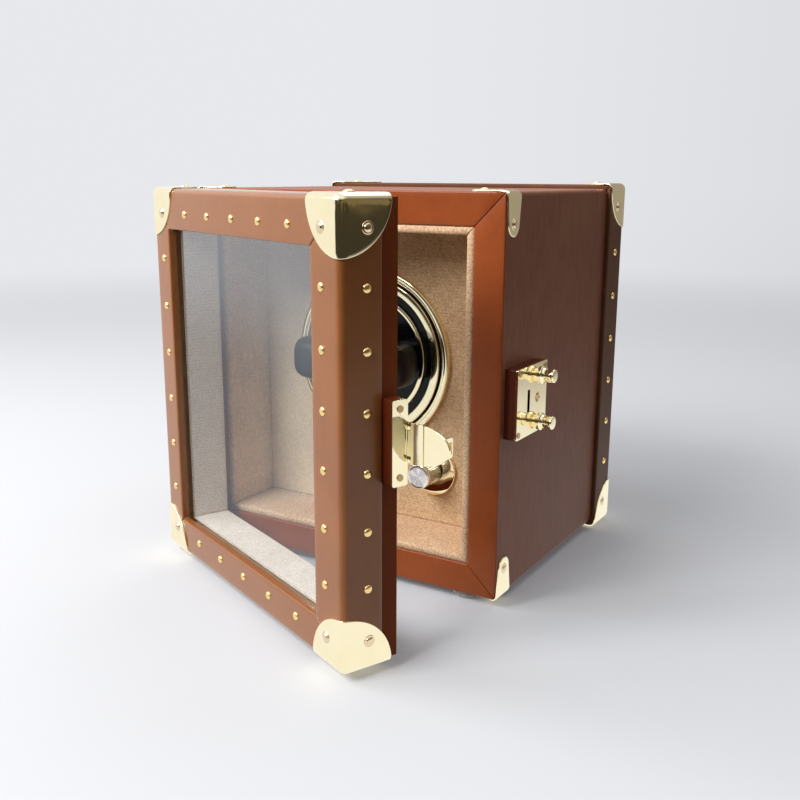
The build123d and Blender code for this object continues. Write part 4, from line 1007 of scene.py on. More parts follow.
@dataclass
class Nailing(SubAssembly):
    """Dome nails and flanged rivets, stamped in brass, and the spacing of nails along a side."""

    nail_radius: float = 2.1
    nail_height: float = 1.0
    rivet_radius: float = 2.9
    rivet_height: float = 1.05
    dome_radius: float = 2.0
    flange: float = 0.32
    rim: float = 0.25
    rim_height: float = 0.05
    sunk: float = 0.3
    level_pitch: float = 27.0
    level_count: int = 6
    across_pitch: float = 28.4
    across_count: int = 5

    def levels(self) -> Points:
        """Heights of the nails in an upright row."""
        return CASE.middle + self.level_pitch * (np.arange(self.level_count) - (self.level_count - 1) / 2)

    def across(self) -> Points:
        """Places along X of the nails in a level row."""
        return self.across_pitch * (np.arange(self.across_count) - (self.across_count - 1) / 2)

    def nail(self) -> Points:
        """Nail head: radius * sin t and height * cos t^0.9 for t from 0 to a quarter turn, with a thin rim.

        Returns:
            Grid of (24, n, 3) round +Z.
        """
        t = np.linspace(0, np.pi / 2, 8)
        dome = np.stack([self.nail_radius * np.sin(t), self.nail_height * np.cos(t) ** 0.9], axis=-1)
        closed = joined(dome, (self.nail_radius, -self.sunk), (0, -self.sunk))
        return turned(closed, (0, 0, 0), (0, 0, 1), 24)

    def rivet(self) -> Points:
        """Rivet head: a dome of sin t and cos t on a flat flange with a rounded rim.

        Returns:
            Grid of (28, n, 3) round +Z.
        """
        t = np.linspace(0, np.pi / 2, 7)
        rise = self.rivet_height - self.flange
        dome = np.stack([self.dome_radius * np.sin(t), self.flange + rise * np.cos(t)], axis=-1)
        rim = arc((self.rivet_radius - self.rim, self.rim_height), self.rim, 90, 0, 4)
        closed = joined(dome, rim, (self.rivet_radius, -self.sunk), (0, -self.sunk))
        return turned(closed, (0, 0, 0), (0, 0, 1), 28)

    def stamp(self, name: str, template: Points, heads: Sequence[tuple], body: Body, node: str | None,
              place: Callable[[Points], Points] | None = None) -> None:
        """Stamps heads at (place, direction) pairs as one piece.

        Args:
            name: name of the piece.
            template: one head.
            heads: pairs of place and direction.
            body: body that they ride on.
            node: CAD node that they stand for, if any.
            place: turn from the drawn pose to the rest pose.
        """
        places, directions = (np.array(part, float) for part in zip(*heads))
        points = stamped(template, places, directions)
        skin = Skin().grid(points if place is None else place(points), wrap_u=True)
        finish = NAIL_BRASS if "nail" in name else RIVET_BRASS
        self.add(skin, name, [finish], body, Slot.BRASS, [node] if node else [], 50)


@dataclass
class CornerBrass(SubAssembly):
    """Pressed brass caps over the corners of a box, with a rivet on each face."""

    radius: float = 26.0
    thickness: float = 0.8
    clearance: float = 0.05
    rivet_inset: float = 13.5
    rim: float = 0.35

    def cap(self, fold: float) -> Points:
        """Three quarter discs over the corner of a body that fills the negative side of all axes.

        On each face p = (-r cos a, -r sin a) round the corner. The folds are rounded by q = min(p, -fold)
        and p = q + (fold + offset) * (p - q) / |p - q|. The offset goes from the outer skin, round the rim
        by a quarter circle, to the inner skin.

        Args:
            fold: radius of the body's edges.
        Returns:
            Three grids as one array of (3, nr, na, 3).
        """
        out = self.clearance + self.thickness
        near = np.linspace(0, fold * 1.6, 8)
        inner_r = np.concatenate([near, np.linspace(fold * 1.6, self.radius - self.rim, 11)[1:]])
        turn = np.linspace(0, np.pi / 2, 5)[1:]
        rim_r = self.radius - self.rim + self.rim * np.sin(turn)
        rim_o = out - self.rim + self.rim * np.cos(turn)
        reach = np.concatenate([inner_r, rim_r, [self.radius], inner_r[::-1]])
        under = np.full(len(inner_r) + 1, self.clearance)
        offset = np.concatenate([np.full(len(inner_r), out), rim_o, under])
        angle = np.linspace(0, np.pi / 2, 31)
        a, b = -reach[:, None] * np.cos(angle), -reach[:, None] * np.sin(angle)
        zero = np.zeros_like(a)
        sharp = np.stack([np.stack([zero, a, b], -1), np.stack([a, zero, b], -1), np.stack([a, b, zero], -1)])
        core = np.minimum(sharp, -fold)
        away = sharp - core
        away /= np.maximum(np.linalg.norm(away, axis=-1, keepdims=True), 1e-9)
        return core + away * (fold + offset)[None, :, None, None]

    def cap_set(self, name: str, half_width: float, y: float, y_out: int, z_low: float, z_high: float,
                fold: float, body: Body, node: str, place: Callable[[Points], Points] | None = None) -> None:
        """Four caps with their rivets on one end of a box.

        Args:
            name: name of the piece.
            half_width: half of the box's width.
            y: the end's y.
            y_out: side that the end faces, 1 or -1.
            z_low: bottom of the box.
            z_high: top of the box.
            fold: radius of the box's edges.
            body: body that they ride on.
            node: CAD node that they stand for.
            place: turn from the drawn pose to the rest pose.
        """
        one = self.cap(fold)
        lift = self.clearance + self.thickness
        skin, heads = Skin(), []
        for x_out in (-1, 1):
            for z_out, z in ((-1, z_low), (1, z_high)):
                signs = np.array([x_out, y_out, z_out])
                corner = np.array([x_out * half_width, y, z])
                points = corner + one * signs
                skin.grid(points if place is None else place(points))
                for axis in range(3):
                    head = corner - signs * self.rivet_inset
                    head[axis] = corner[axis] + signs[axis] * lift
                    heads.append((head, np.eye(3)[axis] * signs[axis]))
        self.add(skin, name, [BRASS], body, Slot.BRASS, [node], 50)
        rivets = Nailing()
        rivets.stamp(f"{name}_rivets", rivets.rivet(), heads, body, None, place)


@dataclass
class FrontStraps(SubAssembly):
    """Brass straps folded over the case's long edges at the front corners."""

    width: float = 16.0
    tip: float = 6.2
    leg: float = 22.0
    foot_leg: float = 10.5
    setback: float = 0.4
    skin_out: float = 0.85
    skin_in: float = 0.05
    rim: float = 0.3

    @property
    def middle(self) -> float:
        """Depth of the straps' middle line."""
        return CASE.front + self.setback + self.width / 2

    def half_width(self, s: Points, leg: float) -> Points:
        """Half width at distances down a leg: an even taper, then tip * sqrt(1 - past^2) round the tip.

        Args:
            s: distances from the fold.
            leg: length of the leg.
        Returns:
            The half widths.
        """
        straight = np.interp(s, [CASE.edge, leg - self.tip], [self.width / 2, self.tip])
        past = np.clip((s - (leg - self.tip)) / self.tip, 0, 1)
        return np.where(s > leg - self.tip, self.tip * np.sqrt(np.maximum(1 - past ** 2, 0)), straight)

    def reach(self, leg: float) -> Points:
        """Distances down a leg at which it is drawn, closer together round the tip."""
        tip = leg - self.tip + self.tip * np.sin(np.linspace(0, np.pi / 2, 12))
        return np.concatenate([np.linspace(CASE.edge, leg - self.tip, 5)[:-1], tip])

    def strap(self, level_leg: float) -> Points:
        """Strap over the edge where X and Z are highest, as a grid across its closed section.

        Along the strap, s runs down the side leg and the level leg from the fold. Its half width is half of
        the width at the fold, falls evenly to the tip's radius, and ends in a half circle of that radius.
        The fold is a quarter circle of the case's edge radius plus the offset. Across the strap, the outer
        skin rolls over the rim on each side and comes back as the inner skin.

        Args:
            level_leg: length of the leg on the level face.
        Returns:
            Grid of (ns, nv, 3).
        """
        edge = CASE.edge
        level, side = self.reach(level_leg), self.reach(self.leg)
        fold = np.radians(np.linspace(90, 0, 9)[1:-1])
        leg_half = np.concatenate([self.half_width(level[::-1], level_leg), np.full(len(fold), self.width / 2),
                                   self.half_width(side, self.leg)])
        foot_x = np.concatenate([-level[::-1], -edge + edge * np.cos(fold), np.zeros(len(side))])
        foot_z = np.concatenate([np.zeros(len(level)), -edge + edge * np.sin(fold), -side])
        normal_x = np.concatenate([np.zeros(len(level)), np.cos(fold), np.ones(len(side))])
        normal_z = np.concatenate([np.ones(len(level)), np.sin(fold), np.zeros(len(side))])
        sink = np.array([self.skin_out - self.skin_in, self.rim, 0.1, 0])
        rim_in = np.array([0, 0, 0.12, 0.45])
        hand = np.repeat([-1, 1], 4)
        across = hand[None] * np.maximum(leg_half[:, None] - np.append(rim_in, rim_in[::-1]), 0)
        offset = (self.skin_out - np.append(sink, sink[::-1]))[None, :]
        x = foot_x[:, None] + normal_x[:, None] * offset
        z = foot_z[:, None] + normal_z[:, None] * offset
        return np.stack([x, self.middle + across, z], axis=-1)

    def build(self) -> None:
        """Makes the four straps and their rivets."""
        skin, heads = Skin(), []
        for z_out, z_edge, level_leg in ((1, CASE.height, self.leg), (-1, 0.0, self.foot_leg)):
            one = self.strap(level_leg)
            for x_out in (-1, 1):
                points = one * np.array([x_out, 1, z_out]) + np.array([x_out * CASE.half_width, 0, z_edge])
                skin.grid(points, wrap_v=True)
                side_z = z_edge - z_out * (self.leg - self.tip)
                heads.append(((x_out * (CASE.half_width + self.skin_out), self.middle, side_z), (x_out, 0, 0)))
                if z_out > 0:
                    level_x = x_out * (CASE.half_width - level_leg + self.tip)
                    heads.append(((level_x, self.middle, z_edge + self.skin_out), (0, 0, 1)))
        self.add(skin, "front_strap_brass", [BRASS], Body.CASE, Slot.BRASS, ["front_corner_straps"], 50)
        rivets = Nailing()
        rivets.stamp("front_strap_rivets", rivets.rivet(), heads, Body.CASE, None)


@dataclass
class CaseShell(SubAssembly):
    """Leather covered case: boards, sleeve, mitred front rails, rear band, back panel and feet."""

    leather: float = 1.2
    rail_round: float = 0.8
    band_side: float = 25.5
    band_back: float = 25.0
    band_round: float = 3.0
    band_rim: float = 0.9
    foot_x: float = 79.5
    foot_inset: float = 12.0

    def build(self) -> None:
        """Makes the case's pieces in order."""
        self.dress_nodes(["case_bottom_board", "case_top_board", "case_left_board", "case_right_board",
                          "back_battens"], TIMBER)
        self.dress_node("case_leather_sleeve", SIDE_LEATHER)
        self.dress_node("back_panel", SIDE_LEATHER, 0.3)
        self.front_rails()
        self.rear_band()
        self.rear_nails()
        self.feet()

    def front_rails(self) -> None:
        """Four mitred rails round the recess, rounded at the case's edges."""
        front, r = CASE.front, self.rail_round
        under = front + self.leather
        strips = mitred(
            CASE.outline, dict.fromkeys(Side, CASE.rail),
            lambda width: divided(joined((0.02, under), arc((r, front + r), r, 180, 270),
                                         arc((width - r, front + r), r, 270, 360), (width, under + 0.5)), 2.2),
            self.leather * 0.95, 0.75, case_box(0, front - 50, front + 90, CASE.edge))
        self.add(Skin().grids(strips), "front_rail_leather", [RAIL_LEATHER], Body.CASE, Slot.TRIM_LEATHER,
                 ["case_front_rails"])

    def rear_band(self) -> None:
        """Leather band folded over the rear edges, mitred at the back's corners."""
        rear = CASE.back + CASE.band
        out = CASE.half_width + CASE.band
        start, r, edge = rear - self.band_side, self.band_rim, self.band_round
        strips = mitred(
            (-out, out, -CASE.band, CASE.height + CASE.band), dict.fromkeys(Side, self.band_back),
            lambda width: divided(joined((CASE.band, start + 0.1), arc((r, start + r), r, 270, 180),
                                         arc((edge, rear - edge), edge, 180, 90, 7),
                                         arc((width - r, rear - r), r, 90, 0), (width, CASE.back + 0.1)), 2.5),
            -self.leather, 0.8, case_box(CASE.band, rear - 200, rear, edge))
        self.add(Skin().grids(strips), "rear_band_leather", [BAND_LEATHER], Body.CASE, Slot.TRIM_LEATHER,
                 ["rear_band"])

    def rear_nails(self) -> None:
        """Nails on the band's side faces and back face."""
        rear = CASE.back + CASE.band
        side_y = rear - self.band_side / 2
        out = CASE.band - self.band_back / 2
        nails = Nailing()
        heads = []
        for z in nails.levels():
            for side in (-1, 1):
                heads.append(((side * (CASE.half_width + CASE.band), side_y, z), (side, 0, 0)))
                heads.append(((side * (CASE.half_width + out), rear, z), (0, 1, 0)))
        for x in nails.across():
            heads += [((x, rear, -out), (0, 1, 0)), ((x, rear, CASE.height + out), (0, 1, 0))]
        nails.stamp("rear_band_nails", nails.nail(), heads, Body.CASE, "case_nails")

    def feet(self) -> None:
        """Clear round feet with a dished underside."""
        profile = joined((0, 0), (9.5, 0), arc((8.0, -3.0), 1.5, 0, -90), arc((5.6, -3.9), 0.6, -90, -180),
                         (0, -3.7))
        places = [(x, y) for x in (-self.foot_x, self.foot_x)
                  for y in (CASE.front + self.foot_inset, CASE.back - self.band_side - self.foot_inset)]
        skin = Skin()
        for x, y in places:
            skin.grid(turned(profile, (x, y, 0), (0, 0, 1), 48), wrap_u=True)
        self.add(skin, "rubber_feet", [FOOT_RUBBER], Body.CASE, Slot.RUBBER, ["feet"])


@dataclass
class Recess(SubAssembly):
    """Suede lined recess and the panel that carries the rotor."""

    bead: float = 1.8
    setback: float = 0.2

    def build(self) -> None:
        """Makes the lining, with a rolled bead at the front, and dresses the panel."""
        front, r = CASE.front + self.setback, self.bead
        x0, x1, z0, z1 = CASE.outline
        rail = CASE.rail
        strips = mitred(
            (x0 + rail, x1 - rail, z0 + rail, z1 - rail), dict.fromkeys(Side, CASE.liner),
            lambda width: divided(joined((0.05, front + r), arc((r, front + r), r, 180, 270),
                                         arc((width - r, front + r), r, 270, 360, 7), (width, CASE.panel + 2)), 3.0),
            0.9, 0.8)
        self.add(Skin().grids(strips), "recess_lining_suede", [BEAD_SUEDE], Body.CASE, Slot.SUEDE, ["recess_liner"])
        self.dress_node("winder_panel", SUEDE, 0.6)


@dataclass
class Door(SubAssembly):
    """Deep glazed door: folded leather band, bare edge skin, lining, pane, caps and nails."""

    nail_top: float = 13.5
    nail_bottom: float = 12.0
    nail_hinge: float = 12.0
    nail_lock: float = 15.0
    nail_side: float = 13.5
    glass_back: float = -105.7
    band_round: float = 0.8
    inner_leg: float = 4.2
    bead: float = 1.5
    band_cells: float = 1.0
    arm_from_end: float = 31.0
    notch_half: float = 2.6
    notch_end: float = -99.1

    def build(self) -> None:
        """Makes the door's pieces in order."""
        self.dress_node("door_core", TIMBER)
        self.dress_node("door_edge_skin", STRIP_LEATHER)
        self.dress_node("door_glass", PANE)
        self.dress_nodes(["hinge_pins", "hinge_arms"], BRASS, 0.2)
        self.band()
        self.lining()
        CornerBrass().cap_set("door_cap_brass", CASE.half_width, DOOR.front, -1, 0, CASE.height, DOOR.edge,
                              Body.DOOR, "door_corner_caps", DOOR.swung)
        self.nails()

    def band(self) -> None:
        """Leather band over the door's front and the front part of its edges, mitred at the corners."""
        front, r, edge = DOOR.front, self.band_round, DOOR.edge
        wrap = front + DOOR.wrap
        strips = mitred(
            CASE.outline, DOOR.widths,
            lambda width: divided(joined((DOOR.skin - 0.1, wrap), arc((r, wrap - r), r, 90, 180, 4),
                                         arc((edge, front + edge), edge, 180, 270, 8),
                                         arc((width - r + 0.05, front + r), r, 270, 360, 5),
                                         (width + 0.05, front + self.inner_leg)), 2.4),
            DOOR.skin * 0.95, 0.9, case_box(0, front, front + 200, edge), self.band_cells)
        self.add(Skin().grids(DOOR.swung(self.notched(strip)) for strip in strips), "door_band_leather",
                 [DOOR_LEATHER], Body.DOOR, Slot.TRIM_LEATHER, ["door_band"])

    def notched(self, strip: Points) -> Points:
        """Strip whose wrapped edge steps back where the hinge arms pass as the door swings.

        On the hinge side, y becomes the lesser of y and the notch's end wherever z is within the
        notch's half width of an arm's height.

        Args:
            strip: any array whose last axis is x, y, z, on the closed door.
        Returns:
            The strip with its two notches.
        """
        x, y, z = np.moveaxis(strip, -1, 0)
        near = np.zeros(z.shape, bool)
        for height in (self.arm_from_end, CASE.height - self.arm_from_end):
            near |= np.abs(z - height) < self.notch_half
        near &= x < -CASE.half_width + 2 * DOOR.edge
        return np.stack([x, np.where(near, np.minimum(y, self.notch_end), y), z], axis=-1)

    def lining(self) -> None:
        """Suede walls inside the door, with a small bead at the rear."""
        x0, x1, z0, z1 = DOOR.opening
        thick = DOOR.rebate - 0.1
        rear, r = DOOR.rear - 0.3, self.bead
        strips = mitred(
            (x0 - thick, x1 + thick, z0 - thick, z1 + thick), dict.fromkeys(Side, thick),
            lambda width: divided(joined((0.05, rear - r), arc((r, rear - r), r, 180, 90),
                                         arc((width - r, rear - r), r, 90, 0, 6), (width, self.glass_back)), 3.0),
            -0.9, 0.8)
        self.add(Skin().grids(DOOR.swung(strip) for strip in strips), "door_lining_suede", [SAND_SUEDE],
                 Body.DOOR, Slot.SUEDE, ["door_lining"])

    def nails(self) -> None:
        """Nails round the door's front and along its edges."""
        half, front = CASE.half_width, DOOR.front
        side_y = front + self.nail_side
        nails = Nailing()
        heads = []
        for z in nails.levels():
            heads += [((x, front, z), (0, -1, 0)) for x in (half - self.nail_lock, -half + self.nail_hinge)]
            heads += [((side * half, side_y, z), (side, 0, 0)) for side in (1, -1)]
        for x in nails.across():
            heads += [((x, front, z), (0, -1, 0)) for z in (CASE.height - self.nail_top, self.nail_bottom)]
        nails.stamp("door_front_nails", nails.nail(), heads, Body.DOOR, "door_nails", DOOR.swung)


@dataclass
class Closure(SubAssembly):
    """Hasp on the door and lock on the case."""

    brass_face: float = 107.2
    stud_y: float = -54.0
    stud_spread: float = 12.5

    def build(self) -> None:
        """Dresses the plates and blocks, and turns the bumper studs."""
        self.dress_nodes(["lock_block", "hasp_block"], BLOCK_LEATHER, 0.5)
        self.dress_nodes(["lock_plate", "hasp_plate", "hasp_flap"], BRASS, 0.16)
        self.dress_nodes(["key_barrel", "hasp_pin"], RIVET_BRASS, 0.12)
        self.dress_nodes(["hasp_screws", "case_screws"], SCREW_BRASS, 0.1)
        self.dress_node("lock_bolt", STEEL, 0.15)
        self.studs()

    def studs(self) -> None:
        """Two turned studs: foot, broad collar, waist and rounded head."""
        profile = joined((0.0, 0.0), (3.4, 0.0), (3.4, 0.75), arc((4.3, 1.25), 0.4, 200, 90, 5), (4.45, 1.6),
                         arc((4.3, 3.25), 0.4, 0, 90, 4), (3.9, 4.0), arc((3.5, 4.6), 0.4, 90, 180, 4),
                         (3.1, 5.2), (3.1, 6.1), arc((3.2, 6.9), 0.35, 270, 360, 4),
                         arc((2.9, 9.5), 0.7, 0, 90, 6), (0.0, 10.2))
        skin = Skin()
        for side in (-1, 1):
            centre = (self.brass_face, self.stud_y, CASE.middle + side * self.stud_spread)
            skin.grid(turned(profile, centre, (1, 0, 0), 48), wrap_u=True)
        self.add(skin, "bumper_stud_brass", [BRASS], Body.CASE, Slot.BRASS, ["bumper_studs"], 40)


@dataclass
class Rotor(SubAssembly):
    """Turning cup with its bezel and trim rings."""

    height: float = 116.5
    bezel_radius: float = 51.5
    bezel_bore: float = 46.4
    rotor_radius: float = 45.9
    cup_radius: float = 33.2

    def ring(self, name: str, profile: Points, finish: Finish, body: Body, slot: Slot, node: str) -> None:
        """Turns a profile of (radius, y) round the rotor's axis as one piece."""
        skin = Skin().grid(turned(profile, (0, 0, self.height), (0, 1, 0), 144), wrap_u=True, wrap_v=True)
        self.add(skin, name, [finish], body, slot, [node], 40)

    def build(self) -> None:
        """Makes the bezel, two trims and the dish, and dresses the sockets."""
        face = CASE.panel
        outer, bore = self.bezel_radius, self.bezel_bore
        bezel = joined((outer, face + 0.05), arc((outer - 1.5, face - 1.9), 1.5, 0, -90, 8),
                       arc((outer - 2.6, face - 3.0), 0.4, -90, -180, 4), (outer - 3.1, face - 2.3),
                       arc((bore + 1.2, face - 1.6), 0.9, -60, -180, 6), (bore, face - 0.8), (bore, face + 4),
                       (bore + 0.7, face + 4), (bore + 0.7, face + 0.05))
        self.ring("bezel_brass", bezel, BRASS, Body.CASE, Slot.BRASS, "rotor_bezel")
        y = face - 2.0
        self.ring("outer_trim_brass", self.trim(45.7, 41.0, y), BRASS, Body.ROTOR, Slot.BRASS, "rotor_outer_trim")
        self.ring("inner_trim_brass", self.trim(36.1, 33.4, y), BRASS, Body.ROTOR, Slot.BRASS, "rotor_inner_trim")
        cup, floor = self.cup_radius, y + 12.0
        rim, r = self.rotor_radius, 0.3
        dish = joined((3.0, floor), arc((cup - 3, floor - 3), 3, 90, 0, 7), arc((cup + r, y + r), r, 180, 270, 4),
                      arc((rim - r, y + r), r, 270, 360, 4), (rim, y + 2.4), (cup + 2, y + 2.4),
                      (cup + 2, floor + 2.5), (8.0, floor + 2.5), (8.0, floor + 11.7), (3.0, floor + 11.7))
        self.ring("dish_gloss", divided(dish, 4.0), BLACK_GLOSS, Body.ROTOR, Slot.BLACK_GLOSS, "rotor_dish")
        self.dress_node("cushion_sockets", BLACK_PLASTIC, 0.4)

    def trim(self, outer: float, bore: float, y: float) -> Points:
        """Ring section with rolled edges, as (radius, y)."""
        r = 0.6
        return joined((outer, y), (outer, y - 0.9), arc((outer - r, y - 1.3), r, 0, -90, 5),
                      arc((bore + r, y - 1.3), r, -90, -180, 5), (bore, y - 0.9), (bore, y))


@dataclass
class WatchCushion(SubAssembly):
    """Black leather watch cushion on its core."""

    length: float = 77.0
    height: float = 26.0
    front: float = -78.8
    back: float = -53.3
    centre: float = 116.5
    stations: int = 61
    around: int = 72
    power: float = 3.4
    scale_up: float = 10.0
    voxel: float = 0.014
    pressure: float = 3.0
    frames: int = 14
    most_move: float = 0.9
    seam_inset: float = 5.5
    groove: float = 0.45
    welt: float = 0.18

    @property
    def middle(self) -> Points:
        """Centre of the cushion, in metres."""
        return np.array([0, (self.front + self.back) / 2, self.centre]) * MM

    def build(self) -> None:
        """Makes the pad, lets cloth pressure fill it, and adds its end seams."""
        piece = self.pad().mesh("cushion_pad", 60)
        self.inflate(piece)
        self.seams(piece)
        piece.data.shade_smooth()
        piece.data.materials.append(CUSHION_LEATHER.material)
        self.settle(piece, Body.CUSHION, Slot.BLACK_LEATHER, ["watch_cushion"])
        self.dress_node("cushion_core", BLACK_PLASTIC, 0.4)

    def pad(self) -> Skin:
        """Rounded roll along X, a little smaller than its room.

        The section is a superellipse of power 3.4 in y and z. Its size falls towards the ends by
        (1 - |t|^9)^(1/3.2) and a slow swell of 2% makes it fuller in the middle.

        Returns:
            The closed skin.
        """
        t = np.sin(np.linspace(-np.pi / 2, np.pi / 2, self.stations))[:, None]
        size = np.maximum(1 - np.abs(t) ** 9, 0) ** (1 / 3.2) * (0.975 + 0.02 * np.cos(t * np.pi / 2))
        a = np.linspace(0, 2 * np.pi, self.around, endpoint=False)
        y, z = (np.sign(part) * np.abs(part) ** (2 / self.power) for part in (np.cos(a), np.sin(a)))
        middle = (self.front + self.back) / 2
        depth = (self.back - self.front) / 2
        x = np.broadcast_to(t * (self.length / 2 - 0.5), (self.stations, self.around))
        points = np.stack([x, middle + depth * size * y, self.centre + self.height / 2 * size * z], axis=-1)
        return Skin().grid(points, wrap_v=True)

    def inflate(self, piece: bpy.types.Object) -> None:
        """Fills the pad by cloth pressure at ten times its size, then caps how far points move.

        Args:
            piece: the pad, changed in place.
        """
        scale = MM * self.scale_up
        middle = Vector(self.middle)
        piece.data.transform(Matrix.Scale(self.scale_up, 4) @ Matrix.Translation(-middle))
        bpy.context.view_layer.objects.active = piece
        remesh = piece.modifiers.new("remesh", "REMESH")
        remesh.mode = "VOXEL"
        remesh.voxel_size = self.voxel
        bpy.ops.object.modifier_apply(modifier="remesh")
        rest = coordinates(piece.data)
        held = piece.vertex_groups.new(name="held")
        back = (self.back - self.front) / 2 * scale
        weights = np.clip((rest[:, 1] - 0.86 * back) / (0.1 * back), 0, 1)
        for index in np.flatnonzero(weights > 0):
            held.add([int(index)], float(weights[index]), "REPLACE")
        cloth = piece.modifiers.new("fill", "CLOTH")
        settings = cloth.settings
        settings.use_pressure = True
        settings.uniform_pressure_force = self.pressure
        settings.mass = 0.4
        settings.tension_stiffness = settings.compression_stiffness = 25
        settings.bending_stiffness = 2.0
        settings.effector_weights.gravity = 0.0
        settings.vertex_group_mass = "held"
        cloth.point_cache.frame_start, cloth.point_cache.frame_end = 1, self.frames
        scene = bpy.context.scene
        for step in range(1, self.frames + 1):
            scene.frame_set(step)
        bpy.ops.object.modifier_apply(modifier="fill")
        shift = coordinates(piece.data) - rest
        reach = np.linalg.norm(shift, axis=1, keepdims=True)
        points = rest + shift * np.minimum(1, self.most_move * scale / np.maximum(reach, 1e-9))
        bound = np.array([self.length / 2, (self.back - self.front) / 2, self.height / 2]) * scale
        piece.data.vertices.foreach_set("co", np.clip(points, -bound, bound).astype(np.float32).ravel())
        piece.vertex_groups.clear()
        piece.data.transform(Matrix.Translation(middle) @ Matrix.Scale(1 / self.scale_up, 4))
        scene.frame_set(1)
        smooth = piece.modifiers.new("fine", "SUBSURF")
        smooth.levels = smooth.render_levels = 1
        bpy.ops.object.modifier_apply(modifier="fine")
        log.info("cushion filled: largest move %.2f mm", float(reach.max()) / scale)

    def seams(self, piece: bpy.types.Object) -> None:
        """Presses a narrow seam round each end.

        Where off is the distance along X from a line 5.5 mm inside the end, a point moves away from the
        cushion's axis by 0.18 * exp(-((|off| - 1.2) / 0.6)^2) - 0.45 * exp(-(off / 0.5)^2), in mm: a groove
        on the line, with a low welt on each side of it.

        Args:
            piece: the pad, changed in place.
        """
        points = coordinates(piece.data)
        away = (points - self.middle) * (0, 1, 1)
        distance = np.maximum(np.linalg.norm(away, axis=1, keepdims=True), 1e-9)
        off = (np.abs(points[:, 0]) / MM - (self.length / 2 - self.seam_inset))[:, None]
        lift = self.welt * np.exp(-((np.abs(off) - 1.2) / 0.6) ** 2) - self.groove * np.exp(-(off / 0.5) ** 2)
        points = points + away / distance * lift * MM
        piece.data.vertices.foreach_set("co", points.astype(np.float32).ravel())
        piece.data.update()


@dataclass
class Selector(SubAssembly):
    """Programme knob and the mirror disc behind it."""

    radius: float = 7.0
    length: float = 14.7
    gap: float = 1.1
    disc_radius: float = 15.0
    disc_thickness: float = 2.0
    flutes: int = 36

    def build(self) -> None:
        """Makes the knob with its fluted body, chrome rim and face, and the disc."""
        back = CASE.panel - self.disc_thickness - self.gap
        front = back - self.length
        centre = (KNOB_AT[0], 0, KNOB_AT[1])
        self.knob(front, back, centre)
        edge = CASE.panel
        disc = joined((0, edge), (self.disc_radius, edge),
                      arc((self.disc_radius - 0.5, edge - 1.5), 0.5, 0, -90, 5), (0, edge - self.disc_thickness))
        skin = Skin().grid(turned(divided(disc, 6.0), centre, (0, 1, 0), 96), wrap_u=True)
        self.add(skin, "selector_disc_mirror", [MIRROR_GOLD], Body.CASE, Slot.MIRROR, ["knob_disc"], 40)
        self.dress_node("selector_shaft", STEEL)
        self.dress_node("selector_switch", BLACK_PLASTIC, 0.3)

    def knob(self, front: float, back: float, centre: tuple[float, float, float]) -> None:
        """Knob whose radius on the fluted length is R - 0.38 * (1 - |cos(n a / 2)|)^0.6 at the angle a.

        Args:
            front: y of its face.
            back: y of its rear.
            centre: point on its axis.
        """
        steps = self.flutes * 8
        r = self.radius
        angle = np.linspace(0, 2 * np.pi, steps, endpoint=False)[:, None]
        rib = (1 - np.abs(np.cos(self.flutes * angle / 2))) ** 0.6
        rim = joined((r - 1.1, front + 0.25), arc((r - 0.45, front + 0.45), 0.45, 260, 360, 6),
                     (r, front + 1.7), (r - 0.3, front + 2.0), (r - 0.3, front + 2.2))
        face = divided(joined((0, front + 0.25), (r - 1.1, front + 0.25)), 1.2)
        end = joined((r - 0.35, back), (3.2, back), (3.2, back - 2), (0, back - 2))
        y = np.concatenate([[front + 2.2, front + 2.5], np.linspace(front + 2.9, back - 0.4, 6), [back]])
        base = np.concatenate([[r - 0.3, r - 0.05], np.full(6, r), [r - 0.35]])
        radius = base - 0.38 * rib * np.array([0, 0.7, 1, 1, 1, 1, 1, 1, 0.6])
        body = np.stack([centre[0] + radius * np.cos(angle), np.broadcast_to(y, radius.shape),
                         centre[2] + radius * np.sin(angle)], axis=-1)
        skin = Skin().grid(body, wrap_u=True)
        for slot, profile in enumerate((end, rim, face)):
            skin.grid(turned(profile, centre, (0, 1, 0), steps), wrap_u=True, slot=slot)
        self.add(skin, "selector_knob_metal", [RIBBED_METAL, CHROME, KNOB_FACE], Body.SELECTOR, Slot.KNOB,
                 ["selector_knob"], 30)


@dataclass
class Works(SubAssembly):
    """Drive, control board and power inlet behind the panel."""

    def build(self) -> None:
        """Dresses the CAD nodes of the works."""
        self.dress_nodes(["drive_front_plate", "drive_rear_plate", "drive_pillars", "motor", "motor_screws",
                          "motor_shaft", "rotor_shaft"], STEEL, 0.2)
        self.dress_nodes(["rotor_gear", "motor_pinion", "board_standoffs"], BLACK_PLASTIC, 0.1)
        self.dress_node("shaft_bushes", NAIL_BRASS, 0.2)
        self.dress_node("control_board", CIRCUIT, 0.15)
        self.dress_node("power_inlet", BLACK_PLASTIC, 0.3)
        self.dress_node("inlet_nut", STEEL, 0.2)


# Studio

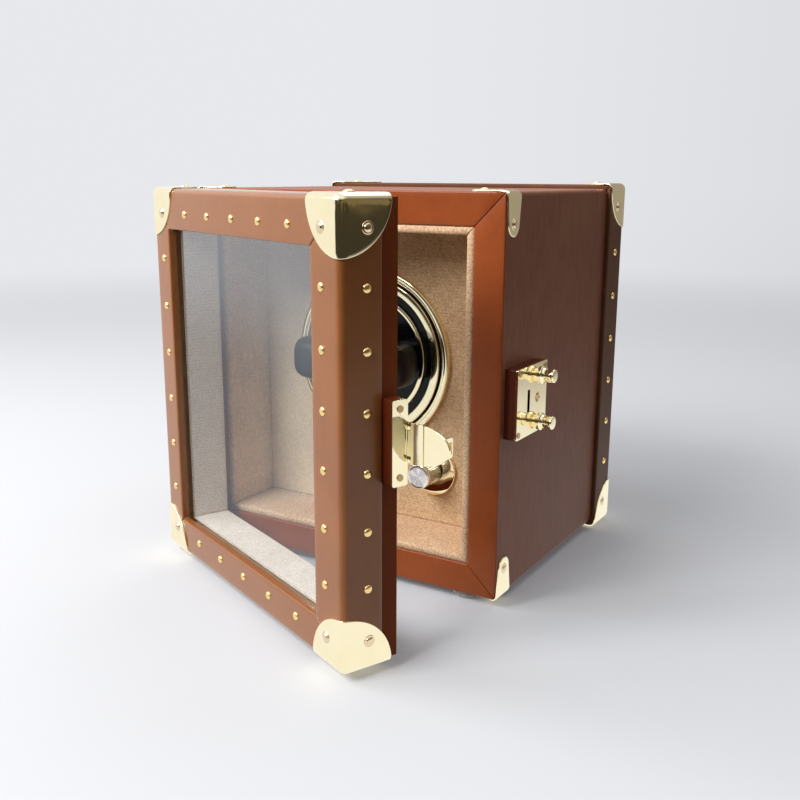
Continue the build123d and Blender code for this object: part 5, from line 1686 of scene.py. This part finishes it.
@dataclass
class Studio:
    """Pale floor, soft light and the camera, in metres.

    The dark and the dim side are x and y of the way to each, and only glosses show them.
    """

    position: tuple[float, float, float] = (0.301294, -0.511589, 0.219289)
    yaw: float = -0.54595
    pitch: float = 0.22955
    roll: float = 0.00429
    lens: float = 43.181
    floor_level: float = -0.0046
    pale: Colour = (0.80, 0.81, 0.84)
    shaded: Colour = (0.58, 0.585, 0.61)
    window: Colour = (1.0, 1.0, 1.0)
    corner: Colour = (0.36, 0.32, 0.27)
    gloom: Colour = (0.045, 0.038, 0.026)
    furniture: Colour = (0.19, 0.15, 0.08)
    dark_side: tuple[float, float] = (0.62, -0.78)
    dim_side: tuple[float, float] = (0.50, 0.87)
    fill: float = 0.42

    def build(self) -> None:
        """Makes the floor, world, lamps and camera."""
        self.camera()
        self.world()
        self.floor()
        self.lamp("key_softbox", (-0.45, -1.20, 1.10), (0, -0.05, 0.12), (0.8, 0.8), 27.0)
        self.lamp("window_softbox", (-1.05, -0.55, 1.00), (-0.02, -0.10, 0.14), (0.8, 0.8), 11.0)
        self.lamp("back_softbox", (0.0, 0.75, 1.3), (0, 0, 0.1), (1.4, 1.0), 7.0)
        scene = bpy.context.scene
        scene.view_settings.view_transform = "Standard"

    def camera(self) -> None:
        """Camera at the photograph's place: right, up and back axes from yaw, pitch and roll."""
        cp, sp, cy, sy = math.cos(self.pitch), math.sin(self.pitch), math.cos(self.yaw), math.sin(self.yaw)
        ahead = np.array([sy * cp, cy * cp, -sp])
        right = np.array([cy, -sy, 0.0])
        up = np.cross(right, ahead)
        cr, sr = math.cos(self.roll), math.sin(self.roll)
        axes = np.stack([right * cr + up * sr, -right * sr + up * cr, -ahead], axis=1)
        data = bpy.data.cameras.new("camera")
        data.lens, data.sensor_width = self.lens, 36.0
        data.clip_start, data.clip_end = 0.01, 30.0
        made = bpy.data.objects.new("camera", data)
        matrix = np.eye(4)
        matrix[:3, :3], matrix[:3, 3] = axes, self.position
        made.matrix_world = Matrix(matrix.tolist())
        bpy.context.scene.collection.objects.link(made)
        bpy.context.scene.camera = made

    def rays(self, s: Shader) -> tuple[Signal, Signal]:
        """Two masks: 1 for a ray from the camera or through glass, and 1 for a ray from a gloss.

        Args:
            s: the shader.
        Returns:
            The two masks.
        """
        path = s.node("ShaderNodeLightPath")
        camera, gloss, through = (Signal(s, path.outputs[name]) for name in
                                  ("Is Camera Ray", "Is Glossy Ray", "Is Transmission Ray"))
        return camera.math("MAXIMUM", through), gloss

    def room(self, s: Shader, at: Signal, along: tuple[float, float], start: float, end: float) -> Signal:
        """Share of one side of the room at a place or way: a smooth step up with x * a + y * b, (a, b) along."""
        x, y, _ = s.axes(at)
        return (x * along[0] + y * along[1]).between(start, end)

    def world(self) -> None:
        """Pale surroundings, darker to the right, with a dark side of the room that only glosses show."""
        world = bpy.data.worlds.new("surroundings")
        bpy.context.scene.world = world
        s = Shader("world_nodes")
        bpy.data.materials.remove(s.material)
        world.use_nodes = True
        s.tree = world.node_tree
        s.tree.nodes.clear()
        way = s.signal("ShaderNodeTexCoord", output="Generated")
        _, _, z = s.axes(way)
        camera, gloss = self.rays(s)
        dark = self.room(s, way, self.dark_side, -0.05, 0.32) * (1 - z.between(0.30, 0.75))
        shapes = s.noise(300.0, 1.0, 0.4, way).between(0.50, 0.62)
        gloom = s.mixed(shapes, self.gloom, self.furniture)
        sky = s.mixed(self.room(s, way, (0.8, 0.6), 0.0, 1.15), self.pale, self.shaded)
        dim = self.room(s, way, self.dim_side, 0.2, 0.8)
        room = s.mixed(dark, s.mixed(dim, self.window, self.corner), gloom)
        show = s.signal("ShaderNodeBackground", None, {"Color": s.mixed(gloss, sky, room), "Strength": 1.0})
        soft = s.mixed(dark * 0.6, (0.93, 0.95, 1.0), (0.30, 0.29, 0.28))
        light = s.signal("ShaderNodeBackground", None, {"Color": soft, "Strength": self.fill})
        mixed = s.signal("ShaderNodeMixShader", None, {0: camera.math("MAXIMUM", gloss), 1: light, 2: show})
        s.node("ShaderNodeOutputWorld", None, {"Surface": mixed})

    def floor(self) -> None:
        """Round floor that takes the shadow near the object and fades into the surroundings. It glows as well, which
        is painted light: a little near the object, fully far off, and to glosses it shows a glowing room.
        """
        radius = np.array([0.0, 0.15, 0.4, 0.8, 1.5, 3.0, 6.0, 12.0]) * 1000
        angle = np.linspace(0, 2 * np.pi, 64, endpoint=False)
        points = np.stack([radius * np.cos(angle)[:, None], radius * np.sin(angle)[:, None],
                           np.full((64, 8), self.floor_level * 1000)], axis=-1)
        piece = Skin().grid(points, wrap_u=True).mesh("floor")
        s = Shader("pale_floor")
        place = s.place()
        x, y, _ = s.axes(place)
        away = (x * x + y * y) ** 0.5
        camera, gloss = self.rays(s)
        grain = s.noise(400.0, 2.0, 0.5)
        pale = s.mixed(grain, (0.58, 0.585, 0.60), (0.61, 0.615, 0.63))
        bounce = s.mixed(grain, (0.14, 0.135, 0.13), (0.16, 0.155, 0.15))
        matt = s.signal("ShaderNodeBsdfDiffuse", None, {"Color": s.mixed(camera, bounce, pale)})
        # Painted reflection: to glosses the floor glows as a room, with a window, a dim corner and a dark side
        dark = self.room(s, place, self.dark_side, 0.36, 0.75)
        far = s.mixed(((x * 0.8 + y * 0.6) / away).between(0.0, 1.15), self.pale, self.shaded)
        dim = self.room(s, place, self.dim_side, 0.20, 0.80)
        mirrored = s.mixed(dark, s.mixed(dim, self.window, self.corner), self.gloom)
        glow = s.signal("ShaderNodeEmission", None, {"Color": s.mixed(gloss, far, mirrored), "Strength": 1.0})
        # Painted light: camera rays see a tenth of the glow near the object, growing to all of it by 2 m; glosses
        # see only the glow
        share = camera * (0.10 + 0.90 * away.between(0.25, 2.0)) + gloss * (1 - camera)
        mixed = s.signal("ShaderNodeMixShader", None, {0: share, 1: matt, 2: glow})
        s.node("ShaderNodeOutputMaterial", None, {"Surface": mixed})
        piece.data.materials.append(s.material)

    def lamp(self, name: str, at: Sequence[float], aim: Sequence[float], size: tuple[float, float],
             power: float) -> None:
        """Rectangular soft lamp.

        Args:
            name: its name.
            at: its place in metres.
            aim: the point that it faces.
            size: its width and height in metres.
            power: watts.
        """
        data = bpy.data.lights.new(name, "AREA")
        data.shape = "RECTANGLE"
        data.size, data.size_y = size
        data.energy = power
        made = bpy.data.objects.new(name, data)
        made.location = at
        made.rotation_mode = "QUATERNION"
        made.rotation_quaternion = (Vector(aim) - Vector(at)).to_track_quat("-Z", "Y")
        bpy.context.scene.collection.objects.link(made)


def main() -> None:
    """Builds the sub-assemblies in order, then the studio."""
    logging.basicConfig(level=logging.INFO, format="%(name)s: %(message)s")
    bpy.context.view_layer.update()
    CaseShell().build()
    CornerBrass().cap_set("rear_cap_brass", CASE.half_width + CASE.band, CASE.back + CASE.band, 1, -CASE.band,
                          CASE.height + CASE.band, CaseShell.band_round, Body.CASE, "rear_corner_caps")
    FrontStraps().build()
    Recess().build()
    Rotor().build()
    WatchCushion().build()
    Selector().build()
    Door().build()
    Closure().build()
    Works().build()
    Studio().build()


if __name__ == "__main__":
    main()
